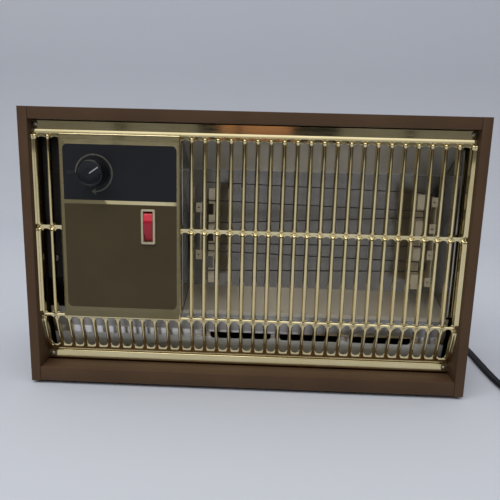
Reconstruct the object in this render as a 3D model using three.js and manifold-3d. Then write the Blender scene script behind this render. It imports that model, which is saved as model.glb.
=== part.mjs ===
// A vintage fan-forced electric heater with a pressed brass grille, in millimetres, +Z up.
// The front faces -Y. The case stands on four rubber feet, and the cord lies beside it.
import * as THREE from "three";
import { mergeVertices } from "three/addons/utils/BufferGeometryUtils.js";
import Module from "manifold-3d";

const wasm = await Module();
wasm.setup();

// Driving sizes of the case. Depths run back from the plane of the case's front edges,
// heights run up from the lower edge of its side panels.
const case_width = 457;
const case_height = 285;
const case_depth = 165;
const case_sheet = 1.2;
const side_width = 9.5;
const side_return = 32;
const base_raise = 0.7;
const strip_height = 11.8;
const lip_height = 15.7;
const lip_depth = 24;
const lip_drop = 8;
const rear_flange = 12;
const foot_height = 3;

// Clearances that several pieces share.
const seat_gap = 0.3;
const overrun = 5;
const merge_distance = 1e-4;
const turn = 2 * Math.PI;
const degree = Math.PI / 180;

const half_case = case_width / 2;
const side_inner = half_case - side_width;
const inner_reach = side_inner - seat_gap;
const floor_height = base_raise + case_sheet;
const rear_fold = case_depth - case_sheet - seat_gap;
const ceiling = case_height - case_sheet;

// Driving sizes of the grille. Its bars stand between the two end bars at one pitch.
const bar_count = 34;
const end_bar_half = 2.9;
const end_bar_inset = 2.88;
const face_depth = 8.6;
const grille_sheet = 1.2;
const head_drop = 28.5;
const upper_slot = 90.5;
const fold_height = 70;
const skirt_back = 14.6;
const skirt_drop = 40.6;
const grille_half = side_inner - seat_gap;
const bar_pitch = (2 * (grille_half - end_bar_inset)) / (bar_count - 1);
const slot_top = case_height - head_drop;
const rail_height = slot_top - upper_slot;

function barX(index) {
  return (index - (bar_count - 1) / 2) * bar_pitch;
}

// The control area covers the bars from the first to the last of these.
const first_covered = 2;
const last_covered = 11;
const area_overlap_left = 1.84;
const area_overlap_right = 2.44;
const area_left = barX(first_covered) - area_overlap_left;
const area_right = barX(last_covered) + area_overlap_right;

// The two plates on the control area.
const plate_margin_left = 4.5;
const plate_margin_right = 3.8;
const plate_margin_top = 6.3;
const plate_margin_low = 13;
const plate_parting = 3.8;
const dial_tall = 55.2;
const plate_left = area_left + plate_margin_left;
const plate_right = area_right - plate_margin_right;
const dial_top = slot_top - plate_margin_top;
const dial_low = dial_top - dial_tall;
const label_top = dial_low - plate_parting;
const label_low = fold_height + plate_margin_low;

// The thermostat and the switch, placed on their plates.
const knob_inset = 32.5;
const knob_lift = 27.8;
const knob_radius = 13.6;
const knob_front = 14.5;
const pointer_turn = 144.5;
const switch_inset = 28.7;
const switch_drop = 21.7;
const rocker_tilt = 12;
const knob_x = plate_left + knob_inset;
const knob_height = dial_low + knob_lift;
const switch_x = plate_right - switch_inset;
const switch_height = label_top - switch_drop;

// Driving sizes of the motor, the fan and the heating chamber. Their places from the front to
// the back are shares of the case's depth.
const chamber_front_share = 0.1212;
const chamber_back_share = 0.4242;
const fan_front_share = 0.4848;
const fan_back_share = 0.6182;
const shroud_share = 0.6545;
const stack_front_share = 0.7273;
const stack_back_share = 0.8606;
const bearing_overhang = 6;
const fan_radius = 74;
const chamber_front = case_depth * chamber_front_share;
const chamber_back = case_depth * chamber_back_share;
const fan_front = case_depth * fan_front_share;
const fan_back = case_depth * fan_back_share;
const shroud_depth = case_depth * shroud_share;
const stack_front = case_depth * stack_front_share;
const stack_back = case_depth * stack_back_share;
const bearing_back = stack_back + bearing_overhang;
const chamber_side_gap = 8.5;
const chamber_head_gap = 0.5;
const hood_drop = 30;
const sill_rise = 8;
const back_rise = 15;
const fan_drop = 106;
const chamber_left = area_right;
const chamber_right = side_inner - chamber_side_gap;
const chamber_middle = (chamber_left + chamber_right) / 2;
const chamber_half = (chamber_right - chamber_left) / 2;
const chamber_top = slot_top - chamber_head_gap;
const back_top = chamber_top - hood_drop;
const chamber_sill = fold_height + sill_rise;
const back_bottom = chamber_sill + back_rise;
const fan_height = chamber_top - fan_drop;

// Solids and geometries

function solidOf(geometry) {
  const bare = geometry.index ? geometry.toNonIndexed() : geometry.clone();
  bare.deleteAttribute("normal");
  bare.deleteAttribute("uv");
  const merged = mergeVertices(bare, merge_distance);
  return new wasm.Manifold(
    new wasm.Mesh({
      numProp: 3,
      vertProperties: merged.attributes.position.array,
      triVerts: new Uint32Array(merged.index.array),
    }),
  );
}

function geometryOf(solid) {
  const mesh = solid.getMesh();
  const indexed = new THREE.BufferGeometry();
  indexed.setAttribute("position", new THREE.BufferAttribute(new Float32Array(mesh.vertProperties), 3));
  indexed.setIndex(new THREE.BufferAttribute(new Uint32Array(mesh.triVerts), 1));
  const geometry = indexed.toNonIndexed();
  geometry.computeVertexNormals();
  return geometry;
}

function joined(geometries) {
  return geometries.map(solidOf).reduce((whole, piece) => whole.add(piece));
}

function cut(solid, geometries) {
  return geometries.map(solidOf).reduce((whole, piece) => whole.subtract(piece), solid);
}

function shapeOf(outline, holes = []) {
  const shape = new THREE.Shape(outline.map(([a, b]) => new THREE.Vector2(a, b)));
  for (const hole of holes) {
    shape.holes.push(new THREE.Path(hole.map(([a, b]) => new THREE.Vector2(a, b))));
  }
  return shape;
}

function extruded(outline, holes, length) {
  return new THREE.ExtrudeGeometry(shapeOf(outline, holes), {
    depth: length,
    bevelEnabled: false,
  });
}

// An outline of [depth, height] points, extruded across the heater from x = from to x = to.
// Both ends are set exactly, so that cells which share an end merge without a crack.
function extrudeX(outline, from, to, holes = []) {
  const axes = new THREE.Matrix4().makeBasis(
    new THREE.Vector3(0, 1, 0),
    new THREE.Vector3(0, 0, 1),
    new THREE.Vector3(1, 0, 0),
  );
  const geometry = extruded(outline, holes, to - from).applyMatrix4(axes);
  const places = geometry.attributes.position;
  for (let i = 0; i < places.count; i++) {
    places.setX(i, places.getX(i) < (to - from) / 2 ? from : to);
  }
  return geometry;
}

// An outline of [x, height] points, extruded from the front depth to the back depth.
function extrudeY(outline, front, back, holes = []) {
  return extruded(outline, holes, back - front)
    .rotateX(Math.PI / 2)
    .translate(0, back, 0);
}

// An outline of [x, depth] points, extruded upwards.
function extrudeZ(outline, low, high, holes = []) {
  return extruded(outline, holes, high - low).translate(0, 0, low);
}

function box(x0, x1, y0, y1, z0, z1) {
  return new THREE.BoxGeometry(x1 - x0, y1 - y0, z1 - z0).translate(
    (x0 + x1) / 2,
    (y0 + y1) / 2,
    (z0 + z1) / 2,
  );
}

// A round bar along Y, from the front depth to the back depth.
function barY(radius, front, back, sides, x = 0, z = 0) {
  return new THREE.CylinderGeometry(radius, radius, back - front, sides).translate(
    x,
    (front + back) / 2,
    z,
  );
}

// A turned piece about the Y axis. The profile's points are [radius, depth].
function turnedY(profile, sides) {
  return new THREE.LatheGeometry(
    profile.map(([radius, depth]) => new THREE.Vector2(radius, depth)),
    sides,
  );
}

// The outline of a folded sheet whose outer face follows the path. The sheet lies to the left.
function folded(path, sheet) {
  const steps = path.slice(1).map(([a, b], i) => {
    const step = new THREE.Vector2(a - path[i][0], b - path[i][1]).normalize();
    return new THREE.Vector2(-step.y, step.x);
  });
  const inner = path.map(([a, b], i) => {
    const before = steps[Math.max(i - 1, 0)];
    const after = steps[Math.min(i, steps.length - 1)];
    const mitre = before.clone().add(after).multiplyScalar(sheet / (1 + before.dot(after)));
    return [a + mitre.x, b + mitre.y];
  });
  return [...path, ...inner.reverse()];
}

// A rectangle whose corners are rounded by the four radii, from the low left corner round.
function rounded(low_a, high_a, low_b, high_b, radii, steps) {
  const corners = [
    [low_a, low_b, 1, 1, turn / 2],
    [high_a, low_b, -1, 1, (3 * turn) / 4],
    [high_a, high_b, -1, -1, 0],
    [low_a, high_b, 1, -1, turn / 4],
  ];
  return corners.flatMap(([a, b, way_a, way_b, start], i) => {
    const radius = radii[i];
    if (radius === 0) {
      return [[a, b]];
    }
    return Array.from({ length: steps + 1 }, (_, k) => {
      const angle = start + (k / steps) * (turn / 4);
      return [
        a + way_a * radius + radius * Math.cos(angle),
        b + way_b * radius + radius * Math.sin(angle),
      ];
    });
  });
}

function circle(a, b, radius, sides) {
  return Array.from({ length: sides }, (_, i) => [
    a + radius * Math.cos((i / sides) * turn),
    b + radius * Math.sin((i / sides) * turn),
  ]);
}

// A closed body through rings of points, each ring a list of vectors in the same order.
function lofted(rings) {
  const sides = rings[0].length;
  const points = rings.flat().flatMap((point) => point.toArray());
  const faces = [];
  for (let ring = 0; ring < rings.length - 1; ring++) {
    for (let side = 0; side < sides; side++) {
      const a = ring * sides + side;
      const b = ring * sides + ((side + 1) % sides);
      faces.push(a, b, b + sides, a, b + sides, a + sides);
    }
  }
  const last = (rings.length - 1) * sides;
  for (let side = 1; side < sides - 1; side++) {
    faces.push(0, side + 1, side);
    faces.push(last, last + side, last + side + 1);
  }
  const geometry = new THREE.BufferGeometry();
  geometry.setAttribute("position", new THREE.Float32BufferAttribute(points, 3));
  geometry.setIndex(faces);
  return geometry;
}

// A tube along points. The section's points are [sideways, upwards], and upwards stays fixed.
function swept(points, section, upwards) {
  const rings = points.map((point, i) => {
    const before = points[Math.max(i - 1, 0)];
    const after = points[Math.min(i + 1, points.length - 1)];
    const ahead = after.clone().sub(before).normalize();
    const side = upwards.clone().cross(ahead).normalize();
    const up = ahead.clone().cross(side);
    return section.map(([a, b]) => point.clone().addScaledVector(side, a).addScaledVector(up, b));
  });
  return lofted(rings);
}

// Materials

const finishes = {
  enamel: { color: 0x4a3a2e, roughness: 0.45, metalness: 0.1 },
  brass: { color: 0xc9b77a, roughness: 0.25, metalness: 1 },
  satin_brass: { color: 0xa59c78, roughness: 0.4, metalness: 1 },
  black_plate: { color: 0x1e1f22, roughness: 0.5, metalness: 0.2 },
  olive_plate: { color: 0x4a4230, roughness: 0.5, metalness: 0.4 },
  black_plastic: { color: 0x141416, roughness: 0.35, metalness: 0 },
  white_paint: { color: 0xe8e8e4, roughness: 0.5, metalness: 0 },
  red_plastic: { color: 0xb01c30, roughness: 0.3, metalness: 0 },
  cream_plastic: { color: 0xc9bfa0, roughness: 0.4, metalness: 0 },
  polished: { color: 0xb4b2ae, roughness: 0.12, metalness: 1 },
  steel: { color: 0x8d8f92, roughness: 0.4, metalness: 1 },
  black_steel: { color: 0x191817, roughness: 0.6, metalness: 0.3 },
  mica: { color: 0xb8a88a, roughness: 0.7, metalness: 0 },
  ribbon: { color: 0x3a3634, roughness: 0.6, metalness: 0.7 },
  copper: { color: 0x9a5a30, roughness: 0.4, metalness: 0.8 },
  rubber: { color: 0x1b1b1c, roughness: 0.8, metalness: 0 },
  cord: { color: 0x111113, roughness: 0.55, metalness: 0 },
};

function piece(name, geometry, finish) {
  const mesh = new THREE.Mesh(geometry, new THREE.MeshStandardMaterial(finishes[finish]));
  mesh.name = name;
  return mesh;
}

// Case: five folded steel panels

const tab_width = 10;
const tab_height = 13;
const tab_depth = 14;
const low_tab_depth = 28.6;
const top_screw_drop = 16.5;
const low_screw_height = 21.5;
const top_screw_height = case_height - top_screw_drop;

function sidePanel(name, way) {
  const path = [
    [side_inner, side_return],
    [side_inner, 0],
    [half_case, 0],
    [half_case, rear_fold],
    [side_inner, rear_fold],
  ];
  const cap = [side_inner, half_case, 0, rear_fold];
  const reach = side_inner - tab_width;
  const edge = side_inner + case_sheet;
  const solid = joined([
    extrudeZ(folded(path, case_sheet), 0, case_height),
    box(...cap, 0, case_sheet),
    box(...cap, ceiling, case_height),
    box(reach, edge, tab_depth, tab_depth + case_sheet, top_screw_height - tab_height / 2,
      top_screw_height + tab_height / 2),
    box(reach, edge, low_tab_depth, low_tab_depth + case_sheet, low_screw_height - tab_height / 2,
      low_screw_height + tab_height / 2),
  ]);
  const drilled = cut(solid, [
    barY(screw_radius + seat_gap, tab_depth - overrun, low_tab_depth, 8, screw_x, top_screw_height),
    barY(screw_radius + seat_gap, low_tab_depth - overrun, chamber_back, 8, screw_x, low_screw_height),
  ]);
  const placed = way < 0 ? drilled.mirror([1, 0, 0]) : drilled;
  return piece(name, geometryOf(placed), "enamel");
}

const flange_depth = 12;

function topPanel() {
  const path = [
    [rear_fold, case_height - rear_flange],
    [rear_fold, case_height],
    [0, case_height],
    [0, case_height - strip_height],
    [flange_depth - seat_gap, case_height - strip_height],
  ];
  return piece("top_panel", extrudeX(folded(path, case_sheet), -inner_reach, inner_reach), "enamel");
}

const foot_side_inset = 34;
const foot_front = 30;
const foot_rear_inset = 25;
const foot_x = side_inner - foot_side_inset;
const foot_rear = case_depth - foot_rear_inset;
const foot_radius = 9;
const foot_stem = 3.6;

function basePanel() {
  const path = [
    [lip_depth, lip_height - lip_drop],
    [lip_depth, lip_height],
    [0, lip_height],
    [0, base_raise],
    [rear_fold, base_raise],
    [rear_fold, base_raise + rear_flange],
  ];
  const sheet = solidOf(extrudeX(folded(path, case_sheet), -inner_reach, inner_reach));
  const holes = foot_places.map(([, x, y]) =>
    extrudeZ(circle(x, y, foot_stem + seat_gap, 8), base_raise - overrun, floor_height + overrun),
  );
  return piece("base_panel", geometryOf(cut(sheet, holes)), "enamel");
}

const foot_places = [
  ["foot_front_left", -foot_x, foot_front],
  ["foot_front_right", foot_x, foot_front],
  ["foot_rear_left", -foot_x, foot_rear],
  ["foot_rear_right", foot_x, foot_rear],
];

const foot_taper = 1.5;
const foot_head = 1.4;
const foot_grip = 2;

// A push-in foot: a tapered pad, a stem through the base and a head that grips it from above.
function foot(name, x, y) {
  const head_low = floor_height + seat_gap;
  const profile = [
    [0, -foot_height],
    [foot_radius - foot_taper, -foot_height],
    [foot_radius, base_raise - foot_taper],
    [foot_radius, base_raise],
    [foot_stem, base_raise],
    [foot_stem, head_low],
    [foot_stem + foot_grip, head_low],
    [foot_stem, head_low + foot_head],
    [0, head_low + foot_head],
  ];
  const geometry = turnedY(profile, 10).rotateX(Math.PI / 2).translate(x, y, 0);
  return piece(name, geometry, "rubber");
}

// Rear panel: rows of intake slots behind the fan, and a hole for the strain relief.
const slot_rows = 3;
const slot_columns = 13;
const slot_width = 5.5;
const slot_length = 44;
const slot_column_pitch = 12.5;
const slot_row_pitch = 54;
const cord_hole_inset = 34;
const cord_hole_height = 32;
const relief_radius = 7.2;
const cord_hole_x = side_inner - cord_hole_inset;

function rearPanel() {
  const front = case_depth - case_sheet;
  const holes = [
    barY(relief_radius + seat_gap, front - overrun, case_depth + overrun, 16, cord_hole_x, cord_hole_height),
  ];
  for (let row = 0; row < slot_rows; row++) {
    for (let column = 0; column < slot_columns; column++) {
      const x = chamber_middle + (column - (slot_columns - 1) / 2) * slot_column_pitch;
      const z = fan_height + (row - (slot_rows - 1) / 2) * slot_row_pitch;
      holes.push(
        box(
          x - slot_width / 2,
          x + slot_width / 2,
          front - overrun,
          case_depth + overrun,
          z - slot_length / 2,
          z + slot_length / 2,
        ),
      );
    }
  }
  const plate = solidOf(box(-half_case, half_case, front, case_depth, base_raise, case_height));
  return piece("rear_panel", geometryOf(cut(plate, holes)), "enamel");
}

// Grille: one pressed brass sheet with convex bars

const bar_half = 2.1;
const crest_rise = 1.2;
const bar_turn_back = 2.8;
const bead_radius = 1.8;
const bead_steps = 4;
const flange_gap = 13.4;
const flange_top = case_height - flange_gap;
const band_height = 3.7;
const rail_half = 1.8;
const fold_band = 3;
const fold_skirt = 1.6;
const strip_low = 17.2;
const strip_top = 25.4;
const strip_base = 13.4;
const strip_lean = 0.8;
const shelf_drop = 1;
const channel_depth = 27;
const strip_end = side_inner - tab_width;
const web_height = 3.4;
const area_front = 5;
const area_return = 5;
const side_wall_depth = 22;

const skirt_length = Math.hypot(skirt_back, skirt_drop);
const skirt_ahead = new THREE.Vector2(skirt_back / skirt_length, -skirt_drop / skirt_length);
const web_top = [
  face_depth + skirt_ahead.x * (skirt_length - web_height),
  fold_height + skirt_ahead.y * (skirt_length - web_height),
];
const web_low = [face_depth + skirt_back, fold_height - skirt_drop];

// A station of a bar: [depth, height, how far the front normal leans down, half width].
function barRing(x, [depth, height, lean, half]) {
  const out = new THREE.Vector3(0, -Math.cos(lean), -Math.sin(lean));
  const section = [
    [-half, -bar_turn_back],
    [half, -bar_turn_back],
    [half * 0.75, crest_rise * 0.4],
    [0, crest_rise],
    [-half * 0.75, crest_rise * 0.4],
  ];
  return section.map(([across, rise]) =>
    new THREE.Vector3(x + across, depth, height).addScaledVector(out, rise),
  );
}

const bulb_offset = 4.2;
const neck_offset = 1.8;
const blend_offset = 8;
const skirt_lean = Math.atan2(skirt_back, skirt_drop);

// Half widths of a bar as shares of the plain bar, at its head, bulbs, nodes and skirt.
const head_shares = [2, 2.1, 1.05];
const head_drop_shares = [-0.54, 0.5, 2.3];
const node_shares = [1, 1.15, 1.8, 1.3, 1.8, 1.15, 1];
const foot_shares = [1, 1.9];
const foot_offset_shares = [2.8, 0.7];
const skirt_shares = [3.05, 2.1, 1.3, 1.05, 2.9];
const skirt_place_shares = [0.04, 0.13, 0.27, 0.82, 0.97];

function upperStations(half) {
  const upright = (height, share) => [face_depth, height, 0, half * share];
  const head = head_shares.map((share, i) =>
    upright(slot_top - head_drop_shares[i] * band_height, share),
  );
  const offsets = [blend_offset, bulb_offset, neck_offset, 0, -neck_offset, -bulb_offset, -blend_offset];
  const node = node_shares.map((share, i) => upright(rail_height + offsets[i], share));
  const low = foot_shares.map((share, i) => upright(fold_height + fold_band * foot_offset_shares[i], share));
  return [...head, ...node, ...low];
}

function skirtStations(half) {
  return skirt_place_shares.map((place, i) => [
    face_depth + skirt_back * place,
    fold_height - skirt_drop * place,
    skirt_lean,
    Math.min(half * skirt_shares[i], bar_pitch / 2 - seat_gap / 2 + bar_half * 0.1),
  ]);
}

// The sheet's flange and rolled bead, along the whole width.
function headProfile() {
  const bead_middle = slot_top + band_height + bead_radius;
  const bead = Array.from({ length: bead_steps + 1 }, (_, i) => {
    const angle = turn / 4 + (i / bead_steps) * (turn / 2);
    return [
      face_depth + bead_radius * 0.3 + bead_radius * Math.cos(angle),
      bead_middle + bead_radius * Math.sin(angle),
    ];
  });
  return [
    [flange_depth, flange_top],
    [flange_depth, bead_middle + bead_radius],
    ...bead,
    [face_depth + grille_sheet + bead_radius * 0.3, slot_top + band_height],
    [flange_depth + grille_sheet, bead_middle],
    [flange_depth + grille_sheet, flange_top],
  ];
}

// Bands of the sheet that the bars cross, made in cells of a few bars each, so that no face
// is long and thin.
const cell_bars = 2;

function cell(outline, index) {
  const low = Math.max(barX(index) - bar_pitch / 2, -grille_half);
  const high = Math.min(barX(index + cell_bars) - bar_pitch / 2, grille_half);
  return extrudeX(outline, low, high);
}

const band_outline = [
  [face_depth, slot_top],
  [face_depth + grille_sheet, slot_top],
  [face_depth + grille_sheet, slot_top + band_height + bead_radius / 2],
  [face_depth, slot_top + band_height + bead_radius / 2],
];
const rail_outline = [
  [face_depth + grille_sheet, rail_height - rail_half],
  [face_depth + grille_sheet, rail_height + rail_half],
  [face_depth - crest_rise / 3, rail_height + rail_half / 3],
  [face_depth - crest_rise / 3, rail_height - rail_half / 3],
];
const fold_outline = folded(
  [
    [face_depth, fold_height + fold_band],
    [face_depth, fold_height],
    [face_depth + skirt_ahead.x * fold_skirt, fold_height + skirt_ahead.y * fold_skirt],
  ],
  grille_sheet,
);
const web_outline = folded([web_top, web_low], grille_sheet);

function bottomFlange() {
  const strip_front = lip_depth + seat_gap;
  const shelf = web_low[1] - shelf_drop;
  const strip = [
    web_low,
    [channel_depth, shelf],
    [channel_depth, strip_top + strip_lean],
    [strip_front, strip_top],
    [strip_front, strip_low],
    [channel_depth, strip_base],
  ];
  const end = [web_low, [channel_depth, shelf], [channel_depth, strip_base]];
  return [
    extrudeX(folded(strip, grille_sheet), -strip_end, strip_end),
    extrudeX(folded(end, grille_sheet), -grille_half, -strip_end),
    extrudeX(folded(end, grille_sheet), strip_end, grille_half),
  ];
}

// The walls at both ends stand a little inside the sheet's own ends.
function endWall(from, to) {
  const front = face_depth + seat_gap;
  const top = slot_top + band_height + bead_radius;
  const outline = [
    [front, top],
    [front, fold_height],
    [web_low[0] + seat_gap, web_low[1] + seat_gap],
    [channel_depth - seat_gap, web_low[1] + seat_gap],
    [side_wall_depth, fold_height],
    [side_wall_depth, top],
  ];
  return extrudeX(outline, from, to);
}

// The raised flat area for the controls: a shallow box, open at the back.
function controlArea() {
  const low = fold_height - grille_sheet / 2;
  const high = slot_top + band_height / 2;
  const back = area_front + area_return;
  const block = solidOf(box(area_left, area_right, area_front, back, low, high));
  const pocket = box(
    area_left + grille_sheet,
    area_right - grille_sheet,
    area_front + grille_sheet,
    back + overrun,
    low + grille_sheet,
    high - grille_sheet,
  );
  return geometryOf(cut(block, [pocket]));
}

const shaft_radius = 3;
const shaft_hole = 4.4;
const switch_width = 11.8;
const switch_length = 33.4;

function switchHole(front, back) {
  return box(
    switch_x - switch_width / 2 - seat_gap,
    switch_x + switch_width / 2 + seat_gap,
    front,
    back,
    switch_height - switch_length / 2 - seat_gap,
    switch_height + switch_length / 2 + seat_gap,
  );
}

function isCovered(x) {
  return x > area_left - bar_half && x < area_right + bar_half;
}

function frontGrille() {
  const parts = [extrudeX(headProfile(), -grille_half, grille_half), ...bottomFlange(), controlArea()];
  const wall_outer = grille_half - seat_gap;
  parts.push(endWall(-wall_outer, grille_sheet - wall_outer));
  parts.push(endWall(wall_outer - grille_sheet, wall_outer));
  for (let index = 0; index < bar_count; index += cell_bars) {
    parts.push(cell(fold_outline, index), cell(web_outline, index));
    if (!isCovered(barX(index))) {
      parts.push(cell(band_outline, index), cell(rail_outline, index));
    }
  }
  for (let index = 0; index < bar_count; index++) {
    const x = barX(index);
    const covered = isCovered(x);
    const half = index === 0 || index === bar_count - 1 ? end_bar_half : bar_half;
    const limit = grille_half - seat_gap / 2 - Math.abs(x);
    const stations = [...(covered ? [] : upperStations(half)), ...skirtStations(half)];
    const rings = stations.map(([depth, height, lean, width]) =>
      barRing(x, [depth, height, lean, Math.min(width, limit)]),
    );
    parts.push(lofted(rings));
  }
  const shaft_cut = barY(shaft_hole, -overrun, chamber_front, 16, knob_x, knob_height);
  const solid = cut(joined(parts), [shaft_cut, switchHole(-overrun, chamber_front), ...screwHoles()]);
  return piece("front_grille", geometryOf(solid), "brass");
}

// Grille screws: pan heads in the four corners, in the case's tabs

const screw_inset = 5;
const screw_x = side_inner - screw_inset;
const screw_radius = 1.5;
const screw_head = 2.6;
const screw_head_rise = 1.5;
const screw_length = 7;

const screw_places = [
  ["grille_screw_top_left", -screw_x, top_screw_height, flange_depth],
  ["grille_screw_top_right", screw_x, top_screw_height, flange_depth],
  ["grille_screw_bottom_left", -screw_x, low_screw_height, channel_depth],
  ["grille_screw_bottom_right", screw_x, low_screw_height, channel_depth],
];

function screwHoles() {
  return screw_places.map(([, x, z, depth]) =>
    barY(screw_radius + seat_gap, depth - overrun, depth + screw_length, 8, x, z),
  );
}

function screw(name, x, z, depth) {
  const profile = [
    [0, -screw_head_rise],
    [screw_head * 0.6, -screw_head_rise],
    [screw_head, -screw_head_rise * 0.4],
    [screw_head, 0],
    [screw_radius, 0],
    [screw_radius, screw_length],
    [0, screw_length],
  ];
  return piece(name, turnedY(profile, 10).translate(x, depth, z), "steel");
}

// Plates on the control area

const plate_sheet = 0.6;
const plate_corner = 5.5;

function facePlate(name, low, high, radii, finish) {
  const front = area_front - plate_sheet;
  const outline = rounded(plate_left, plate_right, low, high, radii, 4);
  const solid = cut(solidOf(extrudeY(outline, front, area_front)), [
    barY(shaft_hole, front - overrun, area_front + overrun, 16, knob_x, knob_height),
    switchHole(front - overrun, area_front + overrun),
  ]);
  return piece(name, geometryOf(solid), finish);
}

// Thermostat: knob, pointer line, shaft, nut and body

const knob_back_gap = 0.8;
const knob_back = area_front - plate_sheet - knob_back_gap;
const knob_rim = 1;
const knob_flare = 0.8;
const knob_socket = 11;
const pointer_width = 1.1;
const pointer_sink = 0.6;
const pointer_start = 2.5;
const pointer_end = 11.5;

function thermostatKnob() {
  const profile = [
    [0, -knob_front],
    [knob_radius - 2.4 * knob_rim, -knob_front],
    [knob_radius - 1.1 * knob_rim, -knob_front + 0.5 * knob_rim],
    [knob_radius - knob_flare, -knob_front + 1.6 * knob_rim],
    [knob_radius, knob_back - 2 * knob_rim],
    [knob_radius, knob_back],
    [0, knob_back],
  ];
  const socket = barY(shaft_radius + seat_gap, knob_back - knob_socket, knob_back + overrun, 16);
  const groove = box(
    -pointer_end - seat_gap,
    -pointer_start + seat_gap,
    -knob_front - overrun,
    -knob_front + pointer_sink,
    -pointer_width / 2 - seat_gap,
    pointer_width / 2 + seat_gap,
  );
  const solid = cut(solidOf(turnedY(profile, 32)), [socket, groove]);
  return piece("thermostat_knob", geometryOf(solid), "black_plastic");
}

function knobPointer() {
  const line = box(
    -pointer_end,
    -pointer_start,
    -knob_front,
    -knob_front + pointer_sink - seat_gap,
    -pointer_width / 2,
    pointer_width / 2,
  );
  return piece("knob_pointer", line, "white_paint");
}

const bracket_depth = 19;
const thermostat_body_depth = bracket_depth + case_sheet;
const thermostat_width = 34;
const thermostat_tall = 40;
const thermostat_deep = 22;
const bushing_radius = 4.7;
const nut_across = 7.2;
const nut_thick = 2.4;
const bushing_front = 12;
const shaft_seat = 4;
const shaft_flat_share = 0.6;
const body_corner = 3;
const body_root = 1;
const terminal_thick = 0.8;
const terminal_reach = 8;
const terminal_spread = 8;
const terminal_low = 12;
const terminal_high = 6;

function thermostatShaft() {
  const front = knob_back - knob_socket + seat_gap;
  const back = bushing_front + shaft_seat;
  const flat = box(
    -shaft_radius,
    shaft_radius,
    front - overrun,
    knob_back + knob_rim,
    shaft_radius * shaft_flat_share,
    shaft_radius + overrun,
  );
  const solid = cut(solidOf(barY(shaft_radius, front, back, 16)), [flat]);
  return piece("thermostat_shaft", geometryOf(solid), "steel");
}

// The body's bushing runs through the bracket and holds the shaft's end in a socket.
function thermostatBody() {
  const back = thermostat_body_depth + thermostat_deep;
  const block = rounded(
    knob_x - thermostat_width / 2,
    knob_x + thermostat_width / 2,
    knob_height - thermostat_tall / 2,
    knob_height + thermostat_tall / 2,
    [body_corner, body_corner, body_corner, body_corner],
    2,
  );
  const terminal = (x) =>
    box(x - terminal_thick / 2, x + terminal_thick / 2, back - body_root, back + terminal_reach,
      knob_height - terminal_low, knob_height - terminal_high);
  const solid = cut(
    joined([
      extrudeY(block, thermostat_body_depth, back),
      barY(bushing_radius, bushing_front, thermostat_body_depth + body_root, 16, knob_x, knob_height),
      terminal(knob_x - terminal_spread),
      terminal(knob_x + terminal_spread),
    ]),
    [
      barY(shaft_radius + seat_gap, bushing_front - overrun, bushing_front + shaft_seat + seat_gap, 16,
        knob_x, knob_height),
    ],
  );
  return piece("thermostat_body", geometryOf(solid), "black_plastic");
}

function thermostatNut() {
  const outline = circle(knob_x, knob_height, nut_across, 6);
  const hole = circle(knob_x, knob_height, bushing_radius + seat_gap, 16);
  return piece(
    "thermostat_nut",
    extrudeY(outline, bracket_depth - nut_thick, bracket_depth, [hole]),
    "steel",
  );
}

// The control bracket stands on the base behind the control area and carries the thermostat.
const bracket_side_gap = 6;
const bracket_chamber_gap = 5.5;
const bracket_head = 5.5;
const bracket_foot = 16;
const bracket_step = 36;
const bracket_bend = 40;
const bracket_knee = 14;
const ring_screw_inset = 9.5;
const ring_screw_rise = 21;
const ring_rise = 2;
const ring_radius = 3.2;
const ring_neck = 1.6;
const bracket_left = bracket_side_gap - side_inner;
const bracket_right = chamber_left - bracket_chamber_gap;
const bracket_top = slot_top + bracket_head;
const ring_screw_x = bracket_left + ring_screw_inset;
const ring_screw_height = fold_height + bracket_bend + ring_screw_rise;

function controlBracket() {
  const low_depth = bracket_depth + bracket_step;
  const back = low_depth + bracket_foot;
  const path = [
    [bracket_depth, bracket_top],
    [bracket_depth, fold_height + bracket_bend],
    [low_depth, fold_height + bracket_knee],
    [low_depth, floor_height],
    [back, floor_height],
  ];
  const solid = cut(solidOf(extrudeX(folded(path, case_sheet), bracket_left, bracket_right)), [
    barY(bushing_radius + seat_gap, 0, back, 16, knob_x, knob_height),
    switchHole(0, back),
    barY(screw_radius + seat_gap, 0, back, 8, ring_screw_x, ring_screw_height),
  ]);
  return piece("control_bracket", geometryOf(solid), "black_steel");
}

function ringScrew() {
  const profile = [
    [0, -ring_rise / 2],
    [ring_neck, -ring_rise / 2],
    [ring_neck, -ring_rise],
    [ring_radius, -ring_rise],
    [ring_radius, 0],
    [screw_radius, 0],
    [screw_radius, screw_length],
    [0, screw_length],
  ];
  return piece(
    "bracket_screw",
    turnedY(profile, 12).translate(ring_screw_x, bracket_depth, ring_screw_height),
    "steel",
  );
}

// Rocker switch: one moulding for bezel and body, a pin and the rocker

const bezel_width = 14.4;
const bezel_length = 35.6;
const bezel_rise = 2.2;
const pocket_width = 9.8;
const pocket_length = 31.6;
const pocket_depth = 13;
const switch_body_depth = 25;
const rocker_width = 9;
const rocker_length = 29;
const rocker_proud = 2.6;
const rocker_heel = 6.5;
const rocker_dish = 1.9;
const rocker_slope = 1.1;
const pin_radius = 1;
const pin_inset = 1;
const pivot_sink = 4.4;
const bezel_corner = 1;
const switch_terminal_wide = 6;
const switch_terminal_reach = 7;
const switch_terminal_pitch = 10;
const plate_front = area_front - plate_sheet;
const pivot_depth = plate_front + pivot_sink;

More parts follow.
